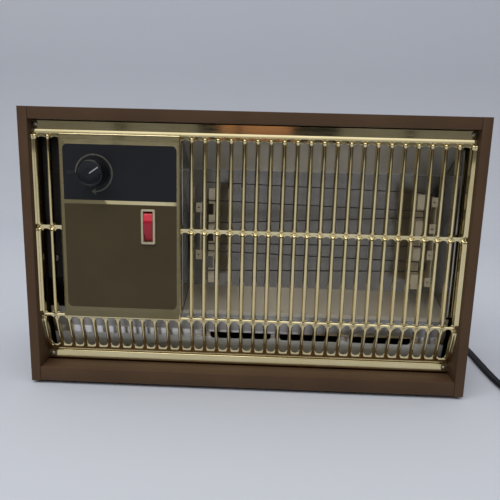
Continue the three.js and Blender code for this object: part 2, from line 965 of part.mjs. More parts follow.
function rockerSwitchBody() {
  const frame = (width, length) =>
    rounded(
      switch_x - width / 2,
      switch_x + width / 2,
      switch_height - length / 2,
      switch_height + length / 2,
      [bezel_corner, bezel_corner, bezel_corner, bezel_corner],
      2,
    );
  const back = plate_front + switch_body_depth;
  const terminal = (z) =>
    box(switch_x - switch_terminal_wide / 2, switch_x + switch_terminal_wide / 2, back - body_root,
      back + switch_terminal_reach, z - terminal_thick / 2, z + terminal_thick / 2);
  const solid = cut(
    joined([
      extrudeY(frame(bezel_width, bezel_length), plate_front - bezel_rise, plate_front),
      extrudeY(frame(switch_width, switch_length), plate_front - bezel_rise / 2, back),
      terminal(switch_height - switch_terminal_pitch),
      terminal(switch_height),
      terminal(switch_height + switch_terminal_pitch),
    ]),
    [
      box(
        switch_x - pocket_width / 2,
        switch_x + pocket_width / 2,
        plate_front - bezel_rise - overrun,
        plate_front + pocket_depth,
        switch_height - pocket_length / 2,
        switch_height + pocket_length / 2,
      ),
      new THREE.CylinderGeometry(pin_radius + seat_gap, pin_radius + seat_gap, switch_width - pin_inset, 10)
        .rotateZ(Math.PI / 2)
        .translate(switch_x, pivot_depth, switch_height),
    ],
  );
  return piece("rocker_switch_body", geometryOf(solid), "cream_plastic");
}

// The rocker's side outline in [depth, height] about its pivot, in the middle position.
function rocker() {
  const front = pivot_depth - plate_front + bezel_rise + rocker_proud;
  const lip = pivot_depth - plate_front + bezel_rise * 0.4;
  const half = rocker_length / 2;
  const outline = [
    [-lip, half],
    [-front, half * 0.86],
    [-front + rocker_slope, half * 0.42],
    [-front + rocker_dish, 0],
    [-front + rocker_slope, -half * 0.42],
    [-front, -half * 0.86],
    [-lip, -half],
    [0, -half * 0.96],
    [rocker_heel * 0.55, -half * 0.62],
    [rocker_heel, 0],
    [rocker_heel * 0.55, half * 0.62],
    [0, half * 0.96],
  ];
  const bore = new THREE.CylinderGeometry(pin_radius + seat_gap, pin_radius + seat_gap,
    rocker_width + overrun, 10).rotateZ(Math.PI / 2);
  const solid = cut(solidOf(extrudeX(outline, -rocker_width / 2, rocker_width / 2)), [bore]);
  return piece("switch_rocker", geometryOf(solid), "red_plastic");
}

function rockerPin() {
  const length = switch_width - pin_inset - 2 * seat_gap;
  const geometry = new THREE.CylinderGeometry(pin_radius, pin_radius, length, 10)
    .rotateZ(Math.PI / 2)
    .translate(switch_x, pivot_depth, switch_height);
  return piece("rocker_pin", geometry, "steel");
}

// Heating chamber: reflector, two bulkheads, lower apron

const reflector_sheet = 0.8;
const bulkhead_sheet = 1;
const bulkhead_rear_gap = 15;
const bulkhead_foot = 11;
const bulkhead_flange = 5;
const bulkhead_rise = 2;
const bulkhead_setback = 3;
const lip_setback = 2;
const lip_fall = 4;
const apron_lean = 15.5;
const apron_bend = 20;
const apron_side_gap = 5;
const apron_foot = 12;
const apron_drop = 1.3;
const apron_setback = 3.6;
const slot_corner = 3.5;
const slot_sill_corner = 0.8;
const bulkhead_back = case_depth - bulkhead_rear_gap;
const apron_reach = side_inner - apron_side_gap;
const apron_top = chamber_sill - apron_drop;
const apron_front = chamber_front + apron_setback;
const air_slots = 3;
const air_slot_length = 66;
const air_slot_pitch = 76;
const air_slot_low = 43;
const air_slot_high = 51;
const air_slot_shift = -2;

function reflector() {
  const path = [
    [chamber_front, chamber_top],
    [chamber_back, back_top],
    [chamber_back, back_bottom],
    [chamber_front + lip_setback, chamber_sill],
    [chamber_front + lip_setback, chamber_sill - lip_fall],
  ];
  const sheet = extrudeX(folded(path, reflector_sheet), chamber_left + seat_gap, chamber_right - seat_gap);
  return piece("reflector", sheet, "polished");
}

function bulkhead(name, x, way) {
  const outline = [
    [chamber_front, chamber_top + bulkhead_rise],
    [chamber_front, chamber_sill + bulkhead_rise],
    [apron_front + bulkhead_setback, apron_top],
    [apron_front + apron_lean + bulkhead_setback, apron_bend],
    [apron_front + apron_lean + bulkhead_setback, floor_height],
    [bulkhead_back, floor_height],
    [bulkhead_back, chamber_top + bulkhead_rise],
  ];
  const out = x + way * bulkhead_sheet;
  const low = Math.min(x, out);
  const high = Math.max(x, out);
  const edge = x + way * bulkhead_flange;
  const toe = x + way * bulkhead_foot;
  const solid = joined([
    extrudeX(outline, low, high),
    box(Math.min(x, edge), Math.max(x, edge), chamber_front, chamber_front + bulkhead_sheet,
      chamber_sill + bulkhead_rise, chamber_top + bulkhead_rise),
    box(Math.min(x, toe), Math.max(x, toe), shroud_depth, bulkhead_back, floor_height,
      floor_height + bulkhead_sheet),
  ]);
  return piece(name, geometryOf(solid), "polished");
}

function lowerApron() {
  const path = [
    [apron_front, apron_top],
    [apron_front + apron_lean, apron_bend],
    [apron_front + apron_lean, floor_height],
    [apron_front + apron_lean + apron_foot, floor_height],
  ];
  const cuts = Array.from({ length: air_slots }, (_, i) => {
    const middle = chamber_middle + air_slot_shift + (i - (air_slots - 1) / 2) * air_slot_pitch;
    const outline = rounded(
      middle - air_slot_length / 2,
      middle + air_slot_length / 2,
      air_slot_low,
      air_slot_high,
      [slot_corner, slot_corner, slot_sill_corner, slot_sill_corner],
      3,
    );
    return extrudeY(outline, 0, chamber_back);
  });
  for (const x of [chamber_left, chamber_right]) {
    const low = x === chamber_left ? x - bulkhead_sheet - seat_gap : x - seat_gap;
    cuts.push(
      box(
        low,
        low + bulkhead_sheet + 2 * seat_gap,
        apron_front + apron_lean + lip_setback,
        chamber_back,
        floor_height - overrun,
        floor_height + overrun,
      ),
    );
  }
  const solid = cut(
    solidOf(extrudeX(folded(path, reflector_sheet), -apron_reach, apron_reach)),
    cuts,
  );
  return piece("lower_apron", geometryOf(solid), "polished");
}

// Mica combs, eyelet strips and the two heating ribbons

const comb_front_share = 0.3;
const comb_sheet = 1;
const tab_tall = 16;
const tab_wide = 11.5;
const comb_inset = 31;
const strip_inset = 17;
const eyelet_radius = 1.1;
const eyelet_pitch = 4.8;
const strip_tall = 10;
const strip_wide = 10.5;
const comb_front = chamber_front + (chamber_back - chamber_front) * comb_front_share;
const comb_x = chamber_half - comb_inset;
const strip_x = chamber_half - strip_inset;

// Heights on the reflector's back, as shares of the way from its lower to its upper bend.
const tab_height_shares = [0.8, 0.59, 0.376, 0.155];
const left_strip_shares = [0.707, 0.323];
const right_strip_shares = [0.8, 0.59, 0.376, 0.155];

function backHeight(share) {
  return back_bottom + (back_top - back_bottom) * share;
}

// A carrier that stands edge on from the reflector's back, with tabs folded to face the front.
function comb(name, x, shares, wide, tall, with_eyelets) {
  const heights = shares.map(backHeight);
  const margin = tall / 2 - seat_gap;
  const front = comb_front;
  const parts = [
    box(
      x - comb_sheet / 2,
      x + comb_sheet / 2,
      front,
      chamber_back - seat_gap,
      Math.min(...heights) - margin,
      Math.max(...heights) + margin,
    ),
  ];
  const eyelets = [];
  for (const z of heights) {
    parts.push(box(x - wide / 2, x + wide / 2, front, front + comb_sheet, z - tall / 2, z + tall / 2));
    for (const offset of [-eyelet_pitch / 2, eyelet_pitch / 2]) {
      eyelets.push(barY(eyelet_radius, front - overrun, front + 2 * comb_sheet, 6, x + offset, z));
    }
  }
  const solid = with_eyelets ? cut(joined(parts), eyelets) : joined(parts);
  return piece(name, geometryOf(solid), "mica");
}

const ribbon_tall = 0.9;
const ribbon_deep = 1.6;
const ribbon_depth = comb_front - seat_gap - ribbon_deep / 2;
const turn_clearance = 1.6;
const turn_reach = tab_wide / 2 + turn_clearance;
const corner_cut = 1.5;

// Each run is [height at the left comb, height at the right comb], as shares like the tabs'.
const upper_run_shares = [
  [0.91, 0.872],
  [0.767, 0.729],
  [0.586, 0.684],
];
const lower_run_shares = [
  [0.421, 0.451],
  [0.361, 0.323],
  [0.199, 0.248],
];

// A ribbon zigzags in front of the combs, turning round the outer edge of a tab each time.
function heatingRibbon(name, run_shares, start_side) {
  const runs = run_shares.map((shares) => shares.map(backHeight));
  const points = [];
  let side = start_side;
  for (const [left, right] of runs) {
    const ends = side < 0 ? [left, right] : [right, left];
    points.push(new THREE.Vector3(chamber_middle + side * (comb_x + turn_reach), ribbon_depth, ends[0]));
    side = -side;
    points.push(new THREE.Vector3(chamber_middle + side * (comb_x + turn_reach), ribbon_depth, ends[1]));
  }
  const section = [
    [-ribbon_tall / 2, -ribbon_deep / 2],
    [ribbon_tall / 2, -ribbon_deep / 2],
    [ribbon_tall / 2, ribbon_deep / 2],
    [-ribbon_tall / 2, ribbon_deep / 2],
  ];
  const corners = [];
  points.forEach((point, i) => {
    if (i === 0 || i === points.length - 1) {
      corners.push(point);
      return;
    }
    for (const other of [points[i - 1], points[i + 1]]) {
      const way = other.clone().sub(point).normalize();
      corners.push(point.clone().addScaledVector(way, corner_cut));
    }
  });
  return piece(name, swept(corners, section, new THREE.Vector3(0, 1, 0)), "ribbon");
}

// Over-temperature switch on the reflector's back

const limit_inset = 20.5;
const limit_drop = 26;
const limit_radius = 9.5;
const limit_cap_share = 0.8;
const limit_base = 5;
const limit_cap = 11;
const limit_blade = 7;
const limit_blade_wide = 6;
const limit_blade_spread = 4;
const limit_x = chamber_left + limit_inset;
const limit_height = back_top - limit_drop;

function limitSwitch() {
  const start = chamber_back + reflector_sheet;
  const profile = [
    [0, start],
    [limit_radius, start],
    [limit_radius, start + limit_base],
    [limit_radius * limit_cap_share, start + limit_base + body_root / 2],
    [limit_radius * limit_cap_share, start + limit_cap],
    [0, start + limit_cap],
  ];
  const blade = (offset) =>
    box(offset - limit_blade_wide / 2, offset + limit_blade_wide / 2, start + limit_cap - body_root,
      start + limit_cap + limit_blade, -terminal_thick / 2, terminal_thick / 2);
  const solid = joined([turnedY(profile, 16), blade(-limit_blade_spread), blade(limit_blade_spread)]);
  return piece("limit_switch", geometryOf(solid).translate(limit_x, 0, limit_height), "black_plastic");
}

// Fan, motor and their carriers. All are built about the fan's axis.

const hub_radius = 15;
const hub_setback = 2;
const hub_shoulder = 6;
const hub_tail = 1;
const blade_count = 5;
const blade_thick = 1.2;
const motor_shaft_radius = 2.5;
const shaft_tail = 3;
const fan_tip_gap = 5;
const shroud_radius = fan_radius + fan_tip_gap;
const shroud_lip = 12;
const strap_half = 11;
const strap_overlap = 17;
const strap_reach = shroud_radius + strap_overlap;
const strap_depth = shroud_depth + bulkhead_sheet;
const rotor_radius = 12;
const rotor_gap = 0.5;
const rotor_overhang = 1;
const cup_radius = 7.5;
const bearing_front = strap_depth + case_sheet;

// Blade stations: radius, chord and pitch angle as shares of the fan's own sizes.
const blade_radius_shares = [0.16, 0.45, 0.75, 1];
const blade_chord_shares = [0.24, 0.42, 0.56, 0.5];
const blade_pitch_degrees = [40, 33, 27, 22];

function fanBlades() {
  const middle = (fan_front + fan_back) / 2;
  const blades = Array.from({ length: blade_count }, (_, index) => {
    const rings = blade_radius_shares.map((share, i) => {
      const radius = share * fan_radius;
      const half = (blade_chord_shares[i] * fan_radius) / 2;
      const pitch = blade_pitch_degrees[i] * degree;
      const along = new THREE.Vector3(0, Math.sin(pitch), Math.cos(pitch));
      const across = new THREE.Vector3(0, Math.cos(pitch), -Math.sin(pitch));
      const centre = new THREE.Vector3(radius, middle, 0);
      return [
        [-1, -0.5],
        [0, -1.1],
        [1, -0.5],
        [1, 0.5],
        [0, -0.1],
        [-1, 0.5],
      ].map(([chord, thick]) =>
        centre.clone().addScaledVector(along, chord * half).addScaledVector(across, thick * blade_thick),
      );
    });
    return lofted(rings.reverse()).rotateY((index / blade_count) * turn);
  });
  const hub = turnedY(
    [
      [0, fan_front + hub_setback],
      [hub_radius * 0.7, fan_front + hub_setback],
      [hub_radius, fan_front + hub_shoulder],
      [hub_radius, fan_back - hub_tail],
      [0, fan_back - hub_tail],
    ],
    20,
  );
  const solid = cut(joined([hub, ...blades]), [
    barY(motor_shaft_radius + seat_gap, fan_front - overrun, fan_back + overrun, 12),
  ]);
  return piece("fan_blades", geometryOf(solid), "polished");
}

function motorShaft() {
  return piece(
    "motor_shaft",
    barY(motor_shaft_radius, fan_front, bearing_back + shaft_tail, 12),
    "steel",
  );
}

function motorRotor() {
  const drum = barY(rotor_radius, stack_front - rotor_overhang, stack_back + rotor_overhang, 20);
  const bore = barY(motor_shaft_radius + seat_gap, stack_front - overrun, stack_back + overrun, 12);
  const solid = cut(solidOf(drum), [bore]);
  return piece("motor_rotor", geometryOf(solid), "steel");
}

const stack_half = 30;
const stack_top = 21;
const stack_low = -38;
const window_half = 16;
const window_top = -16.5;
const window_low = -28;
const stack_corner = 2;
const stack_shoulder = 8;
const coil_corner = 4;
const strap_corner = 4;
const post_radius = 3;
const post_inset = 4.5;
const strap_sheet = 1.5;
const rear_strap_inset = 3.5;
const front_cup_long = 6;
const rear_cup_long = 5;

function motorStator() {
  const corners = [stack_corner, stack_corner, stack_shoulder, stack_shoulder];
  const outline = rounded(-stack_half, stack_half, stack_low, stack_top, corners, 3);
  const window = [
    [-window_half, window_low],
    [window_half, window_low],
    [window_half, window_top],
    [-window_half, window_top],
  ];
  const bore = circle(0, 0, rotor_radius + rotor_gap, 24);
  return piece("motor_stator", extrudeY(outline, stack_front, stack_back, [window, bore]), "steel");
}

function motorCoil() {
  const reach = window_half - seat_gap;
  const build = window_top - window_low - seat_gap;
  const leg_low = stack_low - seat_gap;
  const wound = rounded(-reach, reach, leg_low - build, window_top - seat_gap,
    [coil_corner, coil_corner, coil_corner, coil_corner], 3);
  const solid = cut(
    joined([extrudeY(wound, stack_front - build, stack_back + build)]),
    [
      box(-reach - overrun, reach + overrun, stack_front - seat_gap, stack_back + seat_gap, leg_low,
        window_low + seat_gap),
    ],
  );
  return piece("motor_coil", geometryOf(solid), "copper");
}

// A bearing strap with a cup for the shaft. The front one sits on the motor strap.
function bearingBracket(name, strap_from, cup_from) {
  const strap = rounded(-stack_half, stack_half, -cup_radius, cup_radius,
    [strap_corner, strap_corner, strap_corner, strap_corner], 2);
  const strap_to = strap_from + strap_sheet;
  const is_front = strap_from < stack_front;
  const cup_to = cup_from + (is_front ? front_cup_long : rear_cup_long);
  const near_stack = is_front ? [strap_to, stack_front - seat_gap] : [stack_back + seat_gap, strap_from];
  const post = (x) => barY(post_radius, near_stack[0], near_stack[1], 6, x, 0);
  const solid = cut(
    joined([
      extrudeY(strap, strap_from, strap_to),
      barY(cup_radius, cup_from, cup_to, 16),
      post(-stack_half + post_inset),
      post(stack_half - post_inset),
    ]),
    [barY(motor_shaft_radius + seat_gap, cup_from - overrun, cup_to + overrun, 12)],
  );
  return piece(name, geometryOf(solid), "steel");
}

function motorStrap() {
  const outline = [
    [-strap_reach, -strap_half],
    [strap_reach, -strap_half],
    [strap_reach, strap_half],
    [-strap_reach, strap_half],
  ];
  const hole = circle(0, 0, cup_radius + hub_setback, 16);
  return piece("motor_strap", extrudeY(outline, strap_depth, bearing_front, [hole]), "steel");
}

// The shroud stands between the bulkheads, with a rolled lip round the fan.
function fanShroud() {
  const left = chamber_left + seat_gap - chamber_middle;
  const right = chamber_right - seat_gap - chamber_middle;
  const outline = [
    [left, floor_height - fan_height],
    [right, floor_height - fan_height],
    [right, chamber_top + bulkhead_rise - fan_height],
    [left, chamber_top + bulkhead_rise - fan_height],
  ];
  const plate = extrudeY(outline, shroud_depth, strap_depth, [circle(0, 0, shroud_radius, 28)]);
  const lip = extrudeY(
    circle(0, 0, shroud_radius + bulkhead_sheet, 28),
    shroud_depth - shroud_lip,
    strap_depth,
    [circle(0, 0, shroud_radius, 28)],
  );
  return piece("fan_shroud", geometryOf(joined([plate, lip])), "steel");
}

// Cord: strain relief on the rear panel, free stretch, coil, tie and plug.
// Its route is in the heater's own frame, whose origin is on the floor under the middle.

const middle_depth = (case_depth - knob_front) / 2;
const cord_width = 8.4;
const cord_thick = 4.4;
const relief_length = 32;
const relief_tip = 5.2;
const relief_head = 4;
const relief_head_rim = 1.6;
const relief_collar = 2;
const relief_collar_long = 3;
const relief_neck = 0.6;

function strainRelief() {
  const profile = [
    [0, case_depth - case_sheet - relief_head],
    [relief_radius + relief_head_rim, case_depth - case_sheet - relief_head],
    [relief_radius + relief_head_rim, case_depth - case_sheet - seat_gap],
    [relief_radius, case_depth - case_sheet - seat_gap],
    [relief_radius, case_depth + seat_gap],
    [relief_radius + relief_collar, case_depth + seat_gap],
    [relief_radius + relief_collar, case_depth + relief_collar_long],
    [relief_radius - relief_neck, case_depth + relief_head],
    [relief_tip, case_depth + relief_length],
    [0, case_depth + relief_length],
  ];
  const geometry = turnedY(profile, 12).translate(cord_hole_x, 0, cord_hole_height);
  return piece("strain_relief", geometry, "black_plastic");
}

// Points of the free stretch: out of the strain relief, down to the floor, round the rear
// corner and forward beside the case.
const cord_route = [
  [185, 122.4, 35],
  [185, 131, 35],
  [185.6, 141, 33.6],
  [188, 151, 29.6],
  [193, 160.5, 23],
  [201, 168.5, 15.6],
  [212, 174.5, 8.8],
  [225, 177, 4.4],
  [238, 175.4, 2.7],
  [250, 169.6, 2.5],
  [261, 160, 2.5],
  [270, 146, 2.5],
  [276, 130, 2.5],
  [280, 112, 2.5],
  [281.5, 92, 2.5],
  [282, 70, 2.5],
  [282, 45, 2.5],
  [281.4, 20, 2.5],
  [281, -5, 2.5],
  [281.2, -25, 2.6],
  [282.2, -44, 3.1],
  [283.4, -59, 3.6],
  [283.8, -69.6, 3.6],
];
const cord_steps = 46;

function ovalSection(sides) {
  return circle(0, 0, 1, sides).map(([a, b]) => [(a * cord_width) / 2, (b * cord_thick) / 2]);
}

const upwards = new THREE.Vector3(0, 0, 1);

function cordLead() {
  const curve = new THREE.CatmullRomCurve3(cord_route.map((point) => new THREE.Vector3(...point)));
  return piece("cord_lead", swept(curve.getSpacedPoints(cord_steps), ovalSection(8), upwards), "cord");
}

// The coil: a layer that spirals in, a climb over half a turn, and a layer that spirals out.
const coil_x = 338;
const coil_y = -78.5;
const coil_inner = 34;
const coil_pitch = 9.2;
const coil_turns = 4.5;
const coil_low = 3.6;
const coil_layer = 5.1;
const coil_steps = 24;
const climb_turns = 0.5;
const coil_tail = [
  [391.8, -58, 8.2],
  [391.6, -44, 6.2],
  [391, -28, 3.4],
  [390, -10, 2.5],
  [388.6, 8, 3.2],
  [387.4, 22, 6.4],
  [387, 32, 8.2],
  [387, 40.4, 8.2],
];

function coilPoints() {
  const half_turns = coil_turns / 2;
  const steps = coil_turns * coil_steps;
  const points = [];
  for (let step = 0; step <= steps; step++) {
    const place = step / coil_steps - half_turns;
    const radius = coil_inner + coil_pitch * Math.abs(place);
    const angle = turn / 2 + (step / coil_steps) * turn;
    const climb = THREE.MathUtils.smoothstep(place, -climb_turns / 2, climb_turns / 2);
    points.push(
      new THREE.Vector3(
        coil_x + radius * Math.cos(angle),
        coil_y + radius * Math.sin(angle),
        coil_low + coil_layer * climb,
      ),
    );
  }
  const outer = coil_inner + coil_pitch * half_turns;
  const entry = new THREE.Vector3(coil_x - outer, coil_y + cord_width, coil_low);
  const tail = coil_tail.map((point) => new THREE.Vector3(...point));
  return [entry, ...points, ...tail];
}

// The least gap between stretches of the coil that don't follow each other. The section is
// an oval, so distances are measured with the height stretched to make it round.
function leastCoilGap(points) {
  const stretch = cord_width / cord_thick;
  const apart = coil_steps / 2;
  let least = Infinity;
  points.forEach((point, i) => {
    for (let k = i + apart; k < points.length; k++) {
      const other = points[k];
      const distance = Math.hypot(
        point.x - other.x,
        point.y - other.y,
        (point.z - other.z) * stretch,
      );
      const level = Math.abs(point.z - other.z) * stretch;
      const scale = distance > 0 && level / distance > 0.7 ? 1 / stretch : 1;
      least = Math.min(least, (distance - cord_width) * scale);
    }
  });
  return least;
}

function cordCoil() {
  const points = coilPoints();
  console.log("least gap between the coil's turns, mm:", leastCoilGap(points).toFixed(2));
  return piece("cord_coil", swept(points, ovalSection(6), upwards), "cord");
}

const tie_thick = 0.8;
const tie_width = 5;
const tie_gap = 0.45;
const tie_corner = 2;

// Where the turns cross the tie, in turns from the middle of the coil.
const tie_turns_in = 0.5;
const tie_turns_out = 1.5;

// A strap closed round the bundle of turns on the far side of the coil.
function coilTie() {
  const outer_turn = coil_inner + coil_pitch * tie_turns_out + cord_width / 2 + tie_gap;
  const inner_turn = coil_inner + coil_pitch * tie_turns_in - cord_width / 2 - tie_gap;
  const low = coil_low - cord_thick / 2 - tie_gap;
  const high = coil_low + coil_layer + cord_thick / 2 + tie_gap;
  const corners = (radius) => [radius, radius, radius, radius];
  const inside = rounded(inner_turn, outer_turn, low, high, corners(tie_corner), 2);
  const outside = rounded(
    inner_turn - tie_thick,
    outer_turn + tie_thick,
    low - tie_thick,
    high + tie_thick,
    corners(tie_corner + tie_thick),
    2,
  );
  const strap = extrudeY(outside, -tie_width / 2, tie_width / 2, [inside])
    .rotateZ(turn / 4)
    .translate(coil_x, coil_y, 0);
  return piece("coil_tie", strap, "black_plastic");
}

const plug_neck = 14;
const plug_width = 24;
const plug_thick = 15.6;
const blade_length = 17.5;
const blade_wide = 6.35;
const blade_sheet = 1.5;
const blade_spacing = 12.7;
const plug_x = 387;
const plug_y = 40.7;
const plug_height = 8.2;

// Plug stations: place along its length, half width and half thickness as shares.
const plug_place_shares = [0, 0.5, 0.9, 1.15, 1.6, 2.3, 2.93];
const plug_width_shares = [0.23, 0.27, 0.34, 0.7, 0.95, 1, 0.94];
const plug_thick_shares = [0.32, 0.36, 0.44, 0.7, 0.93, 1, 0.92];

function plugBody() {
  const rings = plug_place_shares.map((place, i) => {
    const half_wide = (plug_width_shares[i] * plug_width) / 2;
    const half_thick = (plug_thick_shares[i] * plug_thick) / 2;
    return circle(0, 0, 1, 12).map(([a, b]) => {
      const square = 1 / Math.max(Math.abs(a), Math.abs(b)) ** 0.5;
      return new THREE.Vector3(
        a * square * half_wide,
        place * plug_neck,
        b * square * half_thick,
      );
    });
  });
  const body = lofted(rings.reverse()).translate(plug_x, plug_y, plug_height);
  return piece("plug_body", body, "black_plastic");
}

function plugBlade(name, way) {
  const front = plug_y + plug_place_shares.at(-1) * plug_neck + seat_gap;
  const x = plug_x + (way * blade_spacing) / 2;
  const blade = box(
    x - blade_sheet / 2,
    x + blade_sheet / 2,
    front,
    front + blade_length,
    plug_height - blade_wide / 2,
    plug_height + blade_wide / 2,
  );
  return piece(name, blade, "satin_brass");
}

// Assembly

const heater = new THREE.Group();
heater.position.set(0, -middle_depth, foot_height);

heater.add(
  topPanel(),
  basePanel(),
  rearPanel(),
  sidePanel("left_side_panel", -1),
  sidePanel("right_side_panel", 1),
);
for (const [name, x, y] of foot_places) {
  heater.add(foot(name, x, y));
}

heater.add(frontGrille());
for (const [name, x, z, depth] of screw_places) {
  heater.add(screw(name, x, z, depth));
}
heater.add(
  facePlate("dial_plate", dial_low, dial_top, [0, 0, plate_corner, plate_corner], "black_plate"),
  facePlate("switch_plate", label_low, label_top, [plate_corner, plate_corner, 0, 0], "olive_plate"),
);

const knob = new THREE.Group();
knob.position.set(knob_x, 0, knob_height);
knob.rotation.y = pointer_turn * degree;
knob.add(thermostatKnob(), knobPointer(), thermostatShaft());
heater.add(knob, thermostatBody(), thermostatNut(), controlBracket(), ringScrew());

const rocker_group = new THREE.Group();
rocker_group.position.set(switch_x, pivot_depth, switch_height);
rocker_group.rotation.x = -rocker_tilt * degree;
rocker_group.add(rocker());
heater.add(rockerSwitchBody(), rockerPin(), rocker_group);

heater.add(
  reflector(),
  bulkhead("bulkhead_left", chamber_left, -1),
  bulkhead("bulkhead_right", chamber_right, 1),
  lowerApron(),
  comb("mica_comb_left", chamber_middle - comb_x, tab_height_shares, tab_wide, tab_tall, false),
  comb("mica_comb_right", chamber_middle + comb_x, tab_height_shares, tab_wide, tab_tall, false),
  comb("eyelet_strip_left", chamber_middle - strip_x, left_strip_shares, strip_wide, strip_tall, true),
  comb("eyelet_strip_right", chamber_middle + strip_x, right_strip_shares, strip_wide, strip_tall, true),
  heatingRibbon("heating_ribbon_upper", upper_run_shares, -1),
  heatingRibbon("heating_ribbon_lower", lower_run_shares, 1),
  limitSwitch(),
);

const fan = new THREE.Group();
fan.position.set(chamber_middle, 0, fan_height);
fan.add(
  fanBlades(),
  motorShaft(),
  motorRotor(),
  motorStator(),
  motorCoil(),
  bearingBracket("bearing_bracket_front", bearing_front, bearing_front),
  bearingBracket("bearing_bracket_rear", bearing_back - rear_strap_inset, bearing_back - rear_cup_long),
  motorStrap(),
  fanShroud(),
);
heater.add(fan, strainRelief());

const group = new THREE.Group();
group.add(heater, cordLead(), cordCoil(), coilTie(), plugBody(), plugBlade("plug_blade_left", -1),
  plugBlade("plug_blade_right", 1));

export default group;
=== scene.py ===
"""A vintage fan-forced electric heater with a pressed brass grille, dressed over its CAD frame."""
import math

import bmesh
import bpy
from mathutils import Matrix, Vector


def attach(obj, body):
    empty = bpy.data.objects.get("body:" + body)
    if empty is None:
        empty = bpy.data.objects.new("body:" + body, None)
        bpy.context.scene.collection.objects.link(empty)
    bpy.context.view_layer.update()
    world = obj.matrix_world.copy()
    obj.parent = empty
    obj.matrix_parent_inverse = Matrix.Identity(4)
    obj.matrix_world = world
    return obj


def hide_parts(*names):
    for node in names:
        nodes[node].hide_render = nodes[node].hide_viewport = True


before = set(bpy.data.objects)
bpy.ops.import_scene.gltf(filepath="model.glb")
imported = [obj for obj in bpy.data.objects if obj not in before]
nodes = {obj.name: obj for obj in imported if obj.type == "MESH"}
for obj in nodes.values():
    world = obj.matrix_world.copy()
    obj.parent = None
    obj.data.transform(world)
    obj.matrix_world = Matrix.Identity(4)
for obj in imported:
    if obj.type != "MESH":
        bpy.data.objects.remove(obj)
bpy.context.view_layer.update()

MM = 0.001
MIDDLE_DEPTH = 75.25
FOOT_HEIGHT = 3.0


def place(x, y, z):
    """A point in the heater's own millimetres: right, back from the case's front, up from its lower edge."""
    return Vector((x * MM, (y - MIDDLE_DEPTH) * MM, (z + FOOT_HEIGHT) * MM))


# Camera, at the photograph's viewing angle

CAMERA_SPOT = (17.8, -531.5, 257.0)
CAMERA_PITCH = math.radians(11.385)
CAMERA_YAW = math.radians(1.75)
CAMERA_ROLL = math.radians(1.5)
SENSOR_WIDTH = 36
FOCAL_PIXELS = 540
PICTURE_PIXELS = 500


def aim_camera():
    """Looks at the front from a little above and to the right, with a slight roll."""
    ahead = Vector(
        (-math.sin(CAMERA_YAW) * math.cos(CAMERA_PITCH),
         math.cos(CAMERA_YAW) * math.cos(CAMERA_PITCH),
         -math.sin(CAMERA_PITCH))
    )
    right = Vector((math.cos(CAMERA_YAW), math.sin(CAMERA_YAW), 0))
    up = right.cross(ahead)
    picture_right = right * math.cos(CAMERA_ROLL) + up * math.sin(CAMERA_ROLL)
    picture_up = up * math.cos(CAMERA_ROLL) - right * math.sin(CAMERA_ROLL)
    camera = bpy.data.objects.new("camera", bpy.data.cameras.new("camera"))
    bpy.context.scene.collection.objects.link(camera)
    camera.data.sensor_width = SENSOR_WIDTH
    camera.data.lens = SENSOR_WIDTH * FOCAL_PIXELS / PICTURE_PIXELS
    camera.data.clip_start = 0.01
    axes = Matrix((picture_right, picture_up, -ahead)).transposed().to_4x4()
    camera.matrix_world = Matrix.Translation(place(*CAMERA_SPOT)) @ axes
    bpy.context.scene.camera = camera


aim_camera()
bpy.context.scene.view_settings.view_transform = "Standard"


# Modelling steps


def rest():
    """Leaves edit mode with nothing selected."""
    if bpy.context.object and bpy.context.object.mode != "OBJECT":
        bpy.ops.object.mode_set(mode="OBJECT")
    bpy.ops.object.select_all(action="DESELECT")


def pick(piece):
    """Makes a piece the only one selected, and the active one."""
    rest()
    piece.select_set(True)
    bpy.context.view_layer.objects.active = piece


def latest(name):
    """Names the piece that was just added."""
    bpy.context.object.name = name
    return bpy.context.object


def edit(piece, mode="FACE", action="DESELECT"):
    """Enters edit mode on a piece with nothing selected, or with everything for the action SELECT."""
    pick(piece)
    bpy.ops.object.mode_set(mode="EDIT")
    bpy.ops.mesh.select_mode(type=mode)
    bpy.ops.mesh.select_all(action=action)


def choose(piece, test, kind="faces"):
    """Selects the faces, edges or vertices that pass the test, in edit mode."""
    mesh = bmesh.from_edit_mesh(piece.data)
    for part in getattr(mesh, kind):
        part.select_set(bool(test(part)))
    mesh.select_flush_mode()
    bmesh.update_edit_mesh(piece.data)


def runs_back(edge):
    """True for a block's edges that run straight back from its front."""
    return abs(edge.verts[0].co.y - edge.verts[1].co.y) > 0.3 * MM


def round_edges(piece, test, width, segments):
    """Rounds the edges that pass the test. The width is in millimetres."""
    edit(piece, "EDGE")
    choose(piece, test, "edges")
    bpy.ops.mesh.bevel(offset=width * MM, segments=segments)


def draw(name, points, closed=False):
    """Draws a line of edges from point to point, and fills it with a face if it is closed."""
    rest()
    bpy.ops.mesh.primitive_plane_add(size=MM, location=points[0])
    piece = latest(name)
    bpy.ops.object.mode_set(mode="EDIT")
    bpy.ops.mesh.select_mode(type="VERT")
    bpy.ops.mesh.select_all(action="SELECT")
    bpy.ops.mesh.merge(type="CENTER")
    for here, there in zip(points, points[1:]):
        bpy.ops.mesh.extrude_region_move(TRANSFORM_OT_translate={"value": there - here})
    if closed:
        bpy.ops.mesh.select_all(action="SELECT")
        bpy.ops.mesh.edge_face_add()
    return piece


def pull(step):
    """Extrudes all of the piece that is being edited by one step."""
    bpy.ops.mesh.select_all(action="SELECT")
    bpy.ops.mesh.extrude_region_move(TRANSFORM_OT_translate={"value": step})


def turned(name, profile, middle, steps):
    """A piece turned about the Y axis through the middle. The profile's points are (radius, depth)."""
    piece = draw(name, [middle + Vector((radius * MM, depth * MM, 0)) for radius, depth in profile])
    bpy.ops.mesh.select_all(action="SELECT")
    bpy.ops.mesh.spin(steps=steps, angle=2 * math.pi, center=middle, axis=(0, 1, 0))
    return piece


